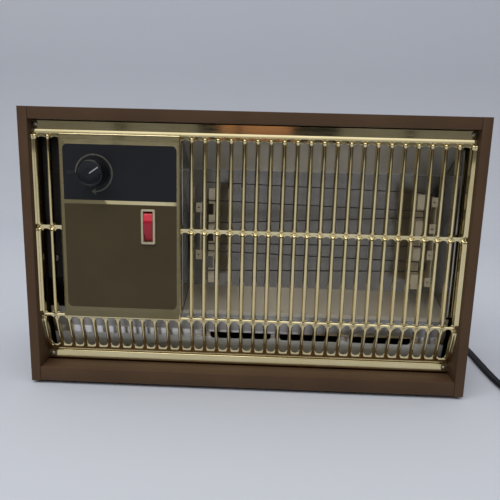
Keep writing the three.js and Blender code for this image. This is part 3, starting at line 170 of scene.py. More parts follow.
def shade(piece, angle):
    """Shades a piece smooth, with the edges that are sharper than the angle kept crisp."""
    pick(piece)
    bpy.ops.object.shade_smooth_by_angle(angle=math.radians(angle))
    return piece


def close_up(piece, smooth=35):
    """Merges what meets, turns the faces outwards and puts the origin at the frame's own."""
    edit(piece, "VERT", "SELECT")
    bpy.ops.mesh.remove_doubles(threshold=0.002 * MM)
    bpy.ops.mesh.normals_make_consistent(inside=False)
    bpy.ops.object.mode_set(mode="OBJECT")
    bpy.ops.object.transform_apply(location=True, rotation=True, scale=True)
    return shade(piece, smooth) if smooth else piece


def modify(piece, kind, **values):
    """Adds a modifier with the given values, and applies it."""
    pick(piece)
    modifier = piece.modifiers.new(kind.lower(), kind)
    for key, value in values.items():
        setattr(modifier, key, value)
    bpy.ops.object.modifier_apply(modifier=modifier.name)
    return piece


def soften(piece, width, segments, angle):
    """Rounds the edges that are sharper than the angle. The width is in millimetres."""
    return modify(
        piece,
        "BEVEL",
        width=width * MM,
        segments=segments,
        limit_method="ANGLE",
        angle_limit=math.radians(angle),
    )


def cut_out(piece, cutter):
    """Cuts the cutter's shape out of the piece, and takes the cutter away."""
    close_up(cutter, smooth=0)
    modify(piece, "BOOLEAN", operation="DIFFERENCE", object=cutter, solver="EXACT")
    bpy.data.objects.remove(cutter)
    return piece


def block(name, low, high):
    """A block between two corners, still to be shaped."""
    rest()
    bpy.ops.mesh.primitive_cube_add(size=1, location=(low + high) / 2)
    piece = latest(name)
    piece.scale = high - low
    bpy.ops.object.transform_apply(location=True, rotation=True, scale=True)
    return piece


def grid(name, across, along):
    """A grid with so many faces across and along, to be shaped point by point."""
    rest()
    bpy.ops.mesh.primitive_grid_add(x_subdivisions=across, y_subdivisions=along, size=1)
    return latest(name)


def fit(piece, finish, body="case", stands_for=()):
    """Gives a finished piece its material, its body and the CAD nodes that it stands for."""
    piece.data.materials.clear()
    piece.data.materials.append(finish)
    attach(piece, body)
    if stands_for:
        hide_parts(*stands_for)
    return piece


def join(pieces, name):
    """Joins pieces that ride the same body into one object."""
    rest()
    for piece in pieces:
        piece.select_set(True)
    bpy.context.view_layer.objects.active = pieces[0]
    bpy.ops.object.join()
    pieces[0].name = name
    return pieces[0]


# Shader groups


def srgb(text):
    """A colour written as six hex digits, as linear values."""
    values = [int(text[i : i + 2], 16) / 255 for i in (0, 2, 4)]
    linear = [v / 12.92 if v <= 0.04045 else ((v + 0.055) / 1.055) ** 2.4 for v in values]
    return (*linear, 1)


GROUP_INPUTS = (("Gloss low", "Float"), ("Gloss high", "Float"), ("Relief", "Float"))
GROUP_OUTPUTS = (("Colour", "Color"), ("Roughness", "Float"), ("Normal", "Vector"))


def start_group(name, own_inputs):
    """A shader group with its own inputs, the inputs that every finish has, and the same outputs."""
    group = bpy.data.node_groups.new(name, "ShaderNodeTree")
    for sockets, direction in (((*own_inputs, *GROUP_INPUTS), "INPUT"), (GROUP_OUTPUTS, "OUTPUT")):
        for label, kind in sockets:
            group.interface.new_socket(name=label, in_out=direction, socket_type="NodeSocket" + kind)
    return group, group.nodes.new("NodeGroupInput"), group.nodes.new("NodeGroupOutput")


def range_step(tree, value, low, high):
    """Spreads the values between low and high over the range from 0 to 1."""
    step = tree.nodes.new("ShaderNodeMapRange")
    step.inputs["From Min"].default_value = low
    step.inputs["From Max"].default_value = high
    tree.links.new(value, step.inputs["Value"])
    return step


def end_group(group, given, out, wide, fine, colours, span, relief_depth):
    """Mixes two colours by the wide noise within a span, and takes gloss and relief from the fine noise."""
    n, link = group.nodes, group.links
    mix = n.new("ShaderNodeMix")
    mix.data_type = "RGBA"
    link.new(range_step(group, wide.outputs["Fac"], *span).outputs["Result"], mix.inputs["Factor"])
    link.new(given.outputs[colours[0]], mix.inputs[6])
    link.new(given.outputs[colours[1]], mix.inputs[7])
    link.new(mix.outputs[2], out.inputs["Colour"])
    gloss = range_step(group, fine.outputs["Fac"], 0.3, 0.7)
    link.new(given.outputs["Gloss low"], gloss.inputs["To Min"])
    link.new(given.outputs["Gloss high"], gloss.inputs["To Max"])
    link.new(gloss.outputs["Result"], out.inputs["Roughness"])
    bump = n.new("ShaderNodeBump")
    bump.inputs["Distance"].default_value = relief_depth
    link.new(given.outputs["Relief"], bump.inputs["Strength"])
    link.new(fine.outputs["Fac"], bump.inputs["Height"])
    link.new(bump.outputs["Normal"], out.inputs["Normal"])
    return group


def make_mottle_group():
    """Uneven colour and gloss: soft patches, fine grain and a little relief."""
    own = (("Colour", "Color"), ("Patch", "Color"), ("Patch size", "Float"), ("Grain size", "Float"))
    group, given, out = start_group("mottle", own)
    n, link = group.nodes, group.links
    where = n.new("ShaderNodeTexCoord")
    patches, grain = n.new("ShaderNodeTexNoise"), n.new("ShaderNodeTexNoise")
    patches.inputs["Detail"].default_value = 4
    grain.inputs["Detail"].default_value = 2
    link.new(where.outputs["Object"], patches.inputs["Vector"])
    link.new(where.outputs["Object"], grain.inputs["Vector"])
    link.new(given.outputs["Patch size"], patches.inputs["Scale"])
    link.new(given.outputs["Grain size"], grain.inputs["Scale"])
    return end_group(group, given, out, patches, grain, ("Colour", "Patch"), (0.35, 0.65), 0.2 * MM)


def make_brush_group():
    """Fine lines left by rolling or brushing, drawn out by the stretch, and faint smears."""
    own = (("Colour", "Color"), ("Smear", "Color"), ("Stretch", "Vector"))
    group, given, out = start_group("brush", own)
    n, link = group.nodes, group.links
    where, drawn_out = n.new("ShaderNodeTexCoord"), n.new("ShaderNodeVectorMath")
    drawn_out.operation = "MULTIPLY"
    link.new(where.outputs["Object"], drawn_out.inputs[0])
    link.new(given.outputs["Stretch"], drawn_out.inputs[1])
    lines, smears = n.new("ShaderNodeTexNoise"), n.new("ShaderNodeTexNoise")
    lines.inputs["Scale"].default_value = 1
    lines.inputs["Detail"].default_value = 3
    smears.inputs["Scale"].default_value = 22
    smears.inputs["Detail"].default_value = 5
    link.new(drawn_out.outputs["Vector"], lines.inputs["Vector"])
    link.new(where.outputs["Object"], smears.inputs["Vector"])
    return end_group(group, given, out, smears, lines, ("Colour", "Smear"), (0.4, 0.75), 0.1 * MM)


MOTTLE = make_mottle_group()
BRUSH = make_brush_group()


def finish_with(name, group, values, gloss, relief, metallic=0.0, specular=0.5):
    """A material: one shader, fed with colour, roughness and normal by a group."""
    material = bpy.data.materials.new(name)
    material.use_nodes = True
    n, link = material.node_tree.nodes, material.node_tree.links
    shader = n["Principled BSDF"]
    shader.inputs["Metallic"].default_value = metallic
    shader.inputs["Specular IOR Level"].default_value = specular
    surface = n.new("ShaderNodeGroup")
    surface.node_tree = group
    values.update({"Gloss low": gloss[0], "Gloss high": gloss[1], "Relief": relief})
    for key, value in values.items():
        surface.inputs[key].default_value = value
    link.new(surface.outputs["Colour"], shader.inputs["Base Color"])
    link.new(surface.outputs["Roughness"], shader.inputs["Roughness"])
    link.new(surface.outputs["Normal"], shader.inputs["Normal"])
    return material


def mottled(name, colour, patch, sizes, gloss, relief, **more):
    """A finish with patches and grain. The sizes are how many of each fit in a metre."""
    values = {"Colour": srgb(colour), "Patch": srgb(patch), "Patch size": sizes[0], "Grain size": sizes[1]}
    return finish_with(name, MOTTLE, values, gloss, relief, **more)


def brushed(name, colour, smear, stretch, gloss, relief):
    """A bare metal finish. The stretch says how fine its lines are along each axis."""
    values = {"Colour": srgb(colour), "Smear": srgb(smear), "Stretch": stretch}
    return finish_with(name, BRUSH, values, gloss, relief, metallic=1.0)


enamel = mottled("brown_enamel", "56412f", "4e3a2a", (14, 1600), (0.42, 0.55), 0.25, specular=0.15)
brass = brushed("lacquered_brass", "e5d6a8", "dbca98", (60, 60, 900), (0.07, 0.12), 0.012)
plate_black = mottled("black_plate_ink", "131418", "17181c", (25, 1500), (0.45, 0.55), 0.1, specular=0.3)
plate_olive = mottled("olive_plate_ink", "4a402a", "443a25", (18, 1500), (0.42, 0.5), 0.1, specular=0.2)
dial_gold = mottled("dull_gold_ink", "5a564c", "504c43", (80, 1500), (0.5, 0.6), 0.05)
dark_ink = mottled("dark_ink", "2a2418", "221d14", (80, 1500), (0.5, 0.6), 0.05)
knob_black = mottled("knob_plastic", "0b0c10", "101116", (40, 2200), (0.22, 0.34), 0.15, specular=0.4)
white_line = mottled("pointer_paint", "a3a1a4", "929094", (220, 2500), (0.45, 0.6), 0.15)
# The rocker's pink base colour is a painted highlight; the zone set below the pivot paints the rest of the
# rocker a darker red
rocker_red = mottled("rocker_plastic", "d8404e", "cc3644", (60, 1200), (0.2, 0.32), 0.05)
bezel_cream = mottled("bezel_plastic", "b8ad90", "a99d80", (60, 1200), (0.3, 0.45), 0.1)
mirror_sheet = brushed("polished_aluminium", "a4a19a", "8f8b84", (900, 60, 60), (0.12, 0.2), 0.012)
# The reflector's bright base colour is painted light on its hood, which lies in shade
reflector_sheet = brushed("reflector_aluminium", "eeeae2", "e2ded6", (900, 60, 60), (0.55, 0.65), 0.02)
galvanised = mottled("zinc_steel", "8f9194", "7b7d80", (45, 700), (0.3, 0.5), 0.1, metallic=1.0)
lamination = brushed("stacked_steel", "77787a", "5d5d5f", (40, 2600, 40), (0.4, 0.55), 0.5)
blackened = mottled("blackened_steel", "171615", "1f1c1a", (30, 1200), (0.5, 0.7), 0.2, metallic=0.4)
mica = mottled("mica_board", "cfc3a8", "bcae90", (55, 1400), (0.6, 0.8), 0.3)
nichrome = mottled("heating_alloy", "35302d", "46403c", (140, 1500), (0.45, 0.6), 0.2, metallic=0.8)
copper_coil = brushed("enamelled_copper", "9c5a30", "7f4522", (60, 2600, 60), (0.3, 0.45), 0.6)
faint_ink = mottled("faint_ink", "34332f", "2c2b28", (80, 1500), (0.5, 0.6), 0.05)
rubber = mottled("foot_rubber", "1a1a1b", "242424", (60, 1800), (0.7, 0.85), 0.4)
cord_vinyl = mottled("cord_vinyl", "0a0a0d", "101013", (50, 1400), (0.45, 0.6), 0.2, specular=0.25)
plug_vinyl = mottled("plug_vinyl", "121214", "1a1a1c", (50, 1400), (0.4, 0.52), 0.2)
screw_steel = mottled("plated_screw", "b5b1a6", "a09c90", (200, 2000), (0.35, 0.5), 0.15, metallic=1.0)
blade_brass = mottled("plug_brass", "b39c5e", "9c8850", (150, 1800), (0.25, 0.4), 0.1, metallic=1.0)
apron_sheet = brushed("apron_aluminium", "b3b0ab", "a8a5a2", (900, 60, 60), (0.34, 0.42), 0.02)
fan_metal = mottled("fan_aluminium", "a8a9a6", "8e8f8c", (40, 900), (0.3, 0.45), 0.1, metallic=1.0)
sweep_paint = mottled("studio_paper", "d0d3da", "cdd0d8", (1.2, 400), (0.8, 0.9), 0.02, specular=0.1)
card_black = mottled("card_black", "0c0c0c", "101010", (5, 200), (0.8, 0.9), 0.02, specular=0.1)
card_brown = mottled("card_brown", "ecac84", "cf8c62", (7, 200), (0.8, 0.9), 0.02, specular=0.1)
card_grey = mottled("card_grey", "5a584c", "4c4a40", (7, 200), (0.8, 0.9), 0.02, specular=0.1)


def zoned(material, steps):
    """Changes a finish below given heights, in metres.

    Each step has a height, half the width of its soft edge, a colour and a roughness."""
    n, link = material.node_tree.nodes, material.node_tree.links
    shader = n["Principled BSDF"]
    where, split = n.new("ShaderNodeTexCoord"), n.new("ShaderNodeSeparateXYZ")
    link.new(where.outputs["Object"], split.inputs["Vector"])
    for height, soft, colour, rough in steps:
        mask = range_step(material.node_tree, split.outputs["Z"], height - soft, height + soft)
        tint, gloss = n.new("ShaderNodeMix"), n.new("ShaderNodeMix")
        mask.inputs["To Min"].default_value = 1
        mask.inputs["To Max"].default_value = 0
        tint.data_type = "RGBA"
        tint.inputs[7].default_value = srgb(colour)
        gloss.inputs[3].default_value = rough
        link.new(mask.outputs["Result"], tint.inputs["Factor"])
        link.new(mask.outputs["Result"], gloss.inputs["Factor"])
        link.new(shader.inputs["Base Color"].links[0].from_socket, tint.inputs[6])
        link.new(shader.inputs["Roughness"].links[0].from_socket, gloss.inputs[2])
        link.new(tint.outputs[2], shader.inputs["Base Color"])
        link.new(gloss.outputs[0], shader.inputs["Roughness"])


# Painted light on the reflector: its one sheet gets a tone in each band for how lit that part looks. The
# hood above HOOD_EDGE keeps the bright base, the back wall below it is painted darker, the slope below
# SLOPE_TOP is painted bright and the lip below LIP_TOP darker
HOOD_EDGE, SLOPE_TOP, LIP_TOP = 0.2284, 0.096, 0.0765
APRON_SHOULDER, APRON_SILL = 0.0565, 0.0475
zoned(
    reflector_sheet,
    [
        (HOOD_EDGE, 0.0003, "98948c", 0.26),
        (SLOPE_TOP, 0.0004, "f0e8d8", 0.6),
        (LIP_TOP, 0.0003, "8c8a88", 0.35),
    ],
)
# Painted reflection on the apron: below APRON_SHOULDER it is painted near white for the pale floor that it
# mirrors, and rougher below the sill, while above it keeps the darker base
zoned(apron_sheet, [(APRON_SHOULDER, 0.001, "f2f2f0", 0.24), (APRON_SILL, 0.0008, "f4f4f2", 0.62)])
# Painted shade on the backdrop: below 0.45 m the sweep is painted darker, so that the wall above reads
# brighter
zoned(sweep_paint, [(0.45, 0.3, "bdc0c7", 0.85)])


# Cord: free stretch, coil, tie, plug and strain relief

CORD_WIDE = 8.4
CORE_RADIUS = CORD_WIDE / 4
CORE_RISE = 2.2
COIL_X, COIL_Y = 338, -78.5
COIL_INNER = 34
TURN_GAP = 9.2
HALF_TURNS = 2.25
TURN_STEPS = 24
LOW_LAYER, LAYER_CLIMB = 3.6, 5.1
PLUG_X, PLUG_Y, PLUG_Z = 387, 40.7, 8.2
RELIEF_X, RELIEF_Z = 185, 32
LEAD_ROUTE = [
    (185, 122.4, 35), (185, 131, 35), (185.6, 141, 33.6), (188, 151, 29.6), (193, 160.5, 23),
    (201, 168.5, 15.6), (212, 174.5, 8.8), (225, 177, 4.4), (238, 175.4, 2.7), (250, 169.6, 2.5),
    (261, 160, 2.5), (270, 146, 2.5), (276, 130, 2.5), (280, 112, 2.5), (281.5, 92, 2.5),
    (282, 70, 2.5), (282, 45, 2.5), (281.4, 20, 2.5), (281, -5, 2.5), (281.2, -25, 2.6),
    (282.2, -44, 3.1), (283.4, -59, 3.6),
]
COIL_TAIL = [
    (391.8, -58, 8.2), (391.6, -44, 6.2), (391, -28, 3.4), (390, -10, 2.5),
    (388.6, 8, 3.2), (387.4, 22, 6.4), (387, 32, 8.2), (387, 40.4, 8.2),
]


def coil_route():
    """Four and a half turns: spiralling in, climbing a layer, and spiralling out again."""
    points = [(COIL_X - COIL_INNER - TURN_GAP * HALF_TURNS, COIL_Y + CORD_WIDE, LOW_LAYER)]
    for step in range(int(2 * HALF_TURNS * TURN_STEPS) + 1):
        where = step / TURN_STEPS - HALF_TURNS
        radius = COIL_INNER + TURN_GAP * abs(where)
        angle = math.pi + step / TURN_STEPS * 2 * math.pi
        share = min(max(where / 0.5 + 0.5, 0), 1)
        height = LOW_LAYER + LAYER_CLIMB * share * share * (3 - 2 * share)
        points.append((COIL_X + radius * math.cos(angle), COIL_Y + radius * math.sin(angle), height))
    return points + COIL_TAIL


def smooth_route(points, steps):
    """The route through all the points, with extra points between them on smooth curves."""
    knots = [Vector(point) * MM for point in points]
    ends = [knots[0] * 2 - knots[1], *knots, knots[-1] * 2 - knots[-2]]
    route = []
    for before, here, there, after in zip(ends, ends[1:], ends[2:], ends[3:]):
        for step in range(steps):
            t = step / steps
            bend = 2 * before - 5 * here + 4 * there - after
            twist = 3 * here - before - 3 * there + after
            route.append(0.5 * (2 * here + (there - before) * t + bend * t * t + twist * t**3))
    route.append(knots[-1])
    return route


def cord_profile():
    """The flat twin cord's section: two round cores side by side, with a groove between them."""
    points = []
    for side in (1, -1):
        for step in range(9):
            angle = math.radians(-124 + 31 * step)
            points.append((side * CORE_RADIUS * (1 + math.cos(angle)), side * CORE_RISE * math.sin(angle)))
    return points


def lay_cord(name, route):
    """A twin cord along a route, its flat side level."""
    section = cord_profile()
    piece = grid(name, len(section), len(route) - 1)
    across = len(section) + 1
    for row, point in enumerate(route):
        before, after = route[max(row - 1, 0)], route[min(row + 1, len(route) - 1)]
        ahead = (after - before).normalized()
        side = Vector((0, 0, 1)).cross(ahead).normalized()
        up = ahead.cross(side)
        for column in range(across):
            wide, high = section[column % len(section)]
            piece.data.vertices[row * across + column].co = point + side * wide * MM + up * high * MM
    edit(piece, "EDGE", "SELECT")
    bpy.ops.mesh.remove_doubles(threshold=0.001 * MM)
    return piece


def fill_ends(piece):
    """Closes a tube's open ends."""
    edit(piece, "EDGE")
    choose(piece, lambda edge: edge.is_boundary, "edges")
    bpy.ops.mesh.fill_holes(sides=0)
    return close_up(piece, smooth=50)


cord_path = smooth_route(LEAD_ROUTE + coil_route(), 3)
cord = fill_ends(lay_cord("cord_skin", cord_path))
fit(cord, cord_vinyl, stands_for=["cord_lead", "cord_coil"])


def make_tie():
    """A vinyl-coated strap round the bundle of turns."""
    slack = CORD_WIDE / 2 + 0.45
    low, high = COIL_Y + 38.6 - slack, COIL_Y + 47.8 + slack
    base, top = 0.95, 11.35
    corner = 2
    width = 5
    outline = []
    for y, z, start in (
        (high - corner, base + corner, -90), (high - corner, top - corner, 0),
        (low + corner, top - corner, 90), (low + corner, base + corner, 180),
    ):
        for step in range(4):
            angle = math.radians(start + 30 * step)
            spot = (COIL_X - width / 2, y + corner * math.cos(angle), z + corner * math.sin(angle))
            outline.append(Vector(spot) * MM)
    tie = draw("coil_tie_strap", [*outline, outline[0]])
    pull(Vector((width * MM, 0, 0)))
    close_up(tie, smooth=50)
    modify(tie, "SOLIDIFY", thickness=0.8 * MM, offset=1, use_even_offset=True)
    return close_up(soften(tie, 0.2, 2, 60), smooth=50)


tie = fit(make_tie(), plug_vinyl, stands_for=["coil_tie"])


def make_plug():
    """A moulded plug: a ribbed neck that widens into a flat body with finger grips.

    The rings are (way along, half width, half thickness)."""
    rings = [
        (0, 2.7, 2.5), (2, 3.0, 2.7), (2.2, 3.6, 3.3), (3.4, 3.6, 3.3), (3.6, 3.0, 2.8), (4.8, 3.2, 2.9),
        (5.0, 3.9, 3.5), (6.2, 3.9, 3.5), (6.4, 3.3, 3.0), (7.8, 3.6, 3.2), (8.0, 4.3, 3.8), (9.4, 4.4, 3.9),
        (9.6, 3.8, 3.4), (12.5, 4.4, 3.7), (14.5, 6.2, 4.5), (17, 8.8, 5.6), (20.5, 10.8, 6.8),
        (25, 11.8, 7.6), (30, 11.9, 7.8), (36, 11.7, 7.6), (39.6, 11.4, 7.3), (40.9, 10.7, 6.6),
    ]
    sides = 24
    plug = grid("plug_moulding", sides, len(rings) - 1)
    for row, (along, wide, thick) in enumerate(rings):
        square = min(max((along - 12) / 8, 0), 1)
        for column in range(sides + 1):
            angle = column / sides * 2 * math.pi
            a, b = math.cos(angle), math.sin(angle)
            corner = 1 / max(abs(a), abs(b)) ** (0.6 * square)
            grip = 0.4 * square * (1 + math.cos(2.2 * along)) * (abs(b) > 0.5) * (22 < along < 34)
            tall = thick - grip
            spot = Vector((PLUG_X + a * corner * wide, PLUG_Y + along, PLUG_Z + b * corner * tall))
            plug.data.vertices[row * (sides + 1) + column].co = spot * MM
    return soften(fill_ends(plug), 0.4, 2, 50)


plug = fit(make_plug(), plug_vinyl, stands_for=["plug_body"])


def make_blade(name, way):
    """A plug blade with a rounded tip and a punched hole near its end."""
    x = PLUG_X + way * 6.35
    tip = 99.5
    low, high = Vector((x - 0.75, 82.02, PLUG_Z - 3.175)), Vector((x + 0.75, tip, PLUG_Z + 3.175))
    blade = block(name, low * MM, high * MM)

    def across_tip(edge):
        first, last = edge.verts
        at_tip = min(first.co.y, last.co.y) > (tip - 0.1) * MM
        return at_tip and abs(first.co.x - last.co.x) > 0.1 * MM

    round_edges(blade, across_tip, 1.4, 4)
    close_up(blade)
    hole = turned("hole", [(0, -2), (1.6, -2), (1.6, 2), (0, 2)], Vector((0, 0, 0)), 16)
    close_up(hole, smooth=0)
    pick(hole)
    bpy.ops.transform.rotate(value=math.pi / 2, orient_axis="Z", center_override=(0, 0, 0))
    bpy.ops.transform.translate(value=Vector((x, 95.2, PLUG_Z)) * MM)
    bpy.ops.object.transform_apply(location=True, rotation=True, scale=True)
    cut_out(blade, hole)
    return soften(close_up(blade), 0.15, 1, 50)


for blade_name, way in (("plug_blade_left", -1), ("plug_blade_right", 1)):
    fit(make_blade(blade_name + "_brass", way), blade_brass, stands_for=[blade_name])


def make_strain_relief():
    """A tapered sleeve with open ribs, snapped into the rear panel."""
    profile = [
        (0, 159.8), (8.8, 159.8), (8.8, 163.4), (7.2, 163.4),
        (7.2, 165.3), (9.2, 165.3), (9.2, 168), (8.6, 168.6),
    ]
    for rib in range(6):
        start = 170 + rib * 3.9
        radius = 7.0 - 0.32 * rib
        groove = radius - 0.9
        profile += [(groove, start), (groove, start + 1.5), (radius, start + 1.8), (radius, start + 3.4)]
    profile += [(5.0, 195.6), (5.2, 196.4), (4.9, 197), (0, 197)]
    relief = turned("strain_relief_sleeve", profile, place(RELIEF_X, 0, RELIEF_Z), 28)
    return soften(close_up(relief), 0.2, 1, 40)


fit(make_strain_relief(), plug_vinyl, stands_for=["strain_relief"])


# Grille: one pressed sheet, modelled a bar at a time and joined side by side

PITCH = 13.08
BARS = 34
EDGE = 218.6
FULL = PITCH / 2
SKIRT = Vector((14.6, -42.1)).normalized()
SHELF = 10.2
FRONT_PLANE = 8.6
FOLD_HEIGHT = 71.5
BAR_DEPTH = 2.8
WELL_DEPTH = 1.65
SHEET = 0.7


def upright_row(height, half, rise, slot, depth):
    """One row of the sheet's upright part, at a height.

    The crest has a half width and stands out by the rise, the slot's edge is so far from the bar's middle,
    and the sheet beside the crest lies back by the depth."""
    return (Vector((FRONT_PLANE, height)), Vector((-1, 0)), half, rise, slot, depth, 0)


def skirt_row(along, half, rise, slot, depth, dent=0):
    """One row of the skirt, which slopes down and back below the fold. The dent is a hollow in the crest."""
    foot = Vector((FRONT_PLANE, FOLD_HEIGHT)) + SKIRT * along
    return (foot, Vector((-SKIRT.y, SKIRT.x)) * -1, half, rise, slot, depth, dent)


def flat_row(depth, height):
    """A row without a crest, for the flanges, the bead and the ledges."""
    return (Vector((depth, height)), Vector((-1, 0)), 2.0, 0, FULL, 0, 0)


def head_rows():
    """The screwed flange, and the rolled bead under it."""
    flange = [(12, 272.0), (12, 268), (12, 263.6)]
    bead = [
        (8.25, 263.5), (7.85, 262.2), (7.5, 260.9), (7.45, 260.6),
        (7.6, 260.3), (8.0, 260.1), (8.8, 260.0), (SHELF, 259.95),
    ]
    return [flat_row(*spot) for spot in flange + bead]


# Each row is (height or way along the skirt, crest's half width, rise, slot edge's place, depth, dent)
BALL = [
    (259.6, 0.5, -1.5, FULL, 1.6), (259.4, 0.95, -0.68, FULL, 1.6), (259.1, 1.5, 0.18, FULL, 1.6),
    (258.7, 2.0, 0.82, FULL, 1.6), (258.1, 2.45, 1.38, FULL, 1.6), (257.4, 2.75, 1.71, FULL, 1.6),
    (256.8, 2.8, 1.8, FULL, 1.6), (256.45, 2.78, 1.78, FULL, 1.6), (256.3, 2.74, 1.74, 3.6, 1.62),
    (255.9, 2.6, 1.62, 3.05, 1.7), (255.4, 2.35, 1.42, 2.75, 1.85), (254.9, 2.05, 1.24, 2.6, 2.1),
    (254.3, 1.8, 1.16, 2.5, 2.5), (253.4, 1.7, 1.2, 2.5, 2.8),
]
KNOT = [
    (8, 1.7, 1.2, 2.5, 2.8), (5.8, 1.8, 1.2, 2.55, 2.75), (4.8, 1.95, 1.2, 2.7, 2.5),
    (3.9, 2.15, 1.16, 3.0, 2.2), (3.1, 2.35, 1.05, 3.4, 1.95), (2.5, 2.45, 0.85, 3.95, 1.78),
    (2.1, 2.45, 0.62, 4.6, 1.66), (1.85, 2.4, 0.42, FULL, 1.6), (1.45, 2.2, 0, FULL, 1.6),
    (1.1, 1.8, -0.55, FULL, 1.6), (0.75, 1.3, -1.2, FULL, 1.6), (0, 1.0, -1.5, FULL, 1.6),
]
CUP = [
    (79, 1.7, 1.2, 2.5, 2.8), (77.6, 1.75, 1.2, 2.5, 2.65), (76.6, 1.8, 1.2, 2.6, 2.3),
    (75.9, 1.9, 1.15, 2.85, 1.95), (75.2, 2.0, 1.0, 3.15, 1.6), (74.6, 2.0, 0.6, 3.55, 1.32),
    (74.1, 1.85, 0.05, 4.05, 1.1), (73.7, 1.7, -0.3, 4.6, 0.94), (73.4, 1.6, -0.42, 5.2, 0.82),
    (73.1, 1.6, -0.42, FULL, 0.7), (72.5, 1.6, -0.2, FULL, 0.4), (72.0, 1.6, -0.02, FULL, 0.12),
    (71.7, 1.6, 0.02, FULL, 0),
]
ARCH = [
    (0.3, 1.6, 0.01, FULL, 0), (0.8, 1.5, 0, FULL, 0.02), (1.0, 1.5, 0, 5.42, 0.04, 0.2),
    (1.4, 1.4, 0, 4.63, 0.06, 0.7), (2.0, 1.35, 0, 3.9, 0.1, 1.2), (2.8, 1.3, 0.02, 3.26, 0.18, 1.4),
    (3.8, 1.6, 0.06, 2.85, 0.25, 1.0), (5.0, 1.6, 0.15, 2.55, 0.4, 0.7), (5.8, 1.6, 0.3, 2.4, 0.6, 0.75),
    (6.6, 1.6, 0.5, 2.3, 0.9, 0.2), (7.6, 1.6, 0.75, 2.25, 1.3), (9.5, 1.6, 1.0, 2.15, 1.9),
    (14, 1.55, 1.15, 2.05, 2.5),
]
HEM = [
    (24, 1.5, 1.2, 2.05, 2.8), (33, 1.5, 1.2, 2.05, 2.4), (36.2, 1.6, 1.1, 2.15, 1.9),
    (37.6, 1.7, 1.0, 2.3, 1.6), (38.8, 1.8, 0.9, 2.6, 1.3), (39.6, 1.9, 0.75, 3.1, 1.1),
    (40.1, 2.0, 0.65, 3.8, 1.0), (40.5, 2.1, 0.55, 5.0, 0.9), (40.7, 2.2, 0.5, FULL, 0.8),
    (41.4, 2.2, 0.35, FULL, 0.4), (42.5, 2.1, 0.15, FULL, 0.1), (44.2, 2.0, 0, FULL, 0),
]
RAIL_HEIGHT = 165.6
PLAIN = (1.7, 1.2, 2.5, BAR_DEPTH)


def bar_rows():
    """The upright part of a bar: its head, plain stretches, the knot on the rail and the cup at the fold."""
    rows = [upright_row(*values) for values in BALL]
    rows += [upright_row(z, *PLAIN) for z in (240, 222, 205, 188, 177)]
    rows += [upright_row(RAIL_HEIGHT + z, *values) for z, *values in KNOT]
    rows += [upright_row(RAIL_HEIGHT - z, *values) for z, *values in reversed(KNOT[:-1])]
    rows += [upright_row(z, *PLAIN) for z in (145, 125, 105, 90, 82)]
    return rows + [upright_row(*values) for values in CUP]


def skirt_rows():
    """The skirt's part of a bar: the arched lower half of the slot, and its rounded end."""
    return [skirt_row(*values) for values in ARCH + HEM]


FOOT_LINE = [
    (23.4, 29.3), (24.6, 28.8), (26.6, 28.4), (27.0, 28.0), (27.0, 26.8), (26.6, 26.3), (25.6, 25.9),
    (25.2, 25.5), (25.1, 25.2), (25.05, 24.8), (24.3, 18.3), (24.25, 17.9), (24.4, 17.3), (26.6, 14.1),
    (26.9, 13.5),
]
# An end bar's outer side as (distance from the bar's middle, lift)
OUTER_SIDE = [(EDGE - 16.5 * PITCH, 0.3), (2.6, 0.26), (2.2, 0.19), (1.7, 0.1), (1.2, 0.03), (0.6, 0)]
# How far the bar's round side has fallen at its four columns: at most, and as a share of the height
ROUND_SIDE = ((1.75, 0.97), (0.95, 0.525), (0.42, 0.232), (0.09, 0.06))
COLUMNS = 12


def press_bar(name, rows, outer=0):
    """One bar with its share of the sheet: a grid shaped row by row, with the slots cut away.

    An end bar's outer side, left or right by the sign, falls gently to the sheet's edge without a slot."""
    bar = grid(name, COLUMNS, len(rows) - 1)
    for row, (foot, out, half, rise, slot, depth, dent) in enumerate(rows):
        beside = min(near[4] for near in rows[max(row - 1, 0) : row + 2])
        reach = slot if slot < FULL else min(beside + 0.6, 5.9) if beside < FULL else 4.3
        half = min(half, reach - 0.2)
        height = rise + depth
        domed = min(max((BAR_DEPTH - depth) / (BAR_DEPTH - WELL_DEPTH), 0), 1)
        fall = [
            min(most, share * height) * (1 - domed) + share * height * domed
            for most, share in ROUND_SIDE
        ]
        side = [
            (FULL, -depth), (reach, -depth), (half + 0.1, rise - fall[0]), (0.88 * half, rise - fall[1]),
            (0.64 * half, rise - fall[2] - 0.25 * dent), (0.34 * half, rise - fall[3] - 0.85 * dent),
        ]
        ends = [(x, rise + lift * min(height, 1)) for x, lift in OUTER_SIDE]
        left, right = (ends if outer < 0 else side), (ends if outer > 0 else side)
        shape = [(-x, lift) for x, lift in left] + [(0, rise - dent)] + right[::-1]
        for column, (x, lift) in enumerate(shape):
            spot = foot + out * lift
            bar.data.vertices[row * len(shape) + column].co = Vector((x, spot.x, spot.y)) * MM
    edit(bar)
    open_rows = {row for row in range(len(rows) - 1) if min(rows[row][4], rows[row + 1][4]) < FULL}
    slots = {-1: (COLUMNS - 1,), 0: (0, COLUMNS - 1), 1: (0,)}[outer]

    choose(bar, lambda face: face.index // COLUMNS in open_rows and face.index % COLUMNS in slots)
    bpy.ops.mesh.delete(type="FACE")
    rest()
    return bar


def copy_at(piece, x):
    """A copy with its own mesh, moved sideways by x millimetres."""
    pick(piece)
    bpy.ops.object.duplicate()
    bpy.ops.transform.translate(value=(x * MM, 0, 0))
    bpy.ops.object.transform_apply(location=True, rotation=True, scale=True)
    return bpy.context.object


KNOB_X, KNOB_Z = -154.5, 222.8
SWITCH_X, SWITCH_Z = -102, 169.5
FIELD_FRONT = 5
FIELD_BEND = 79.2
BEHIND_FIELD = range(3, 11)


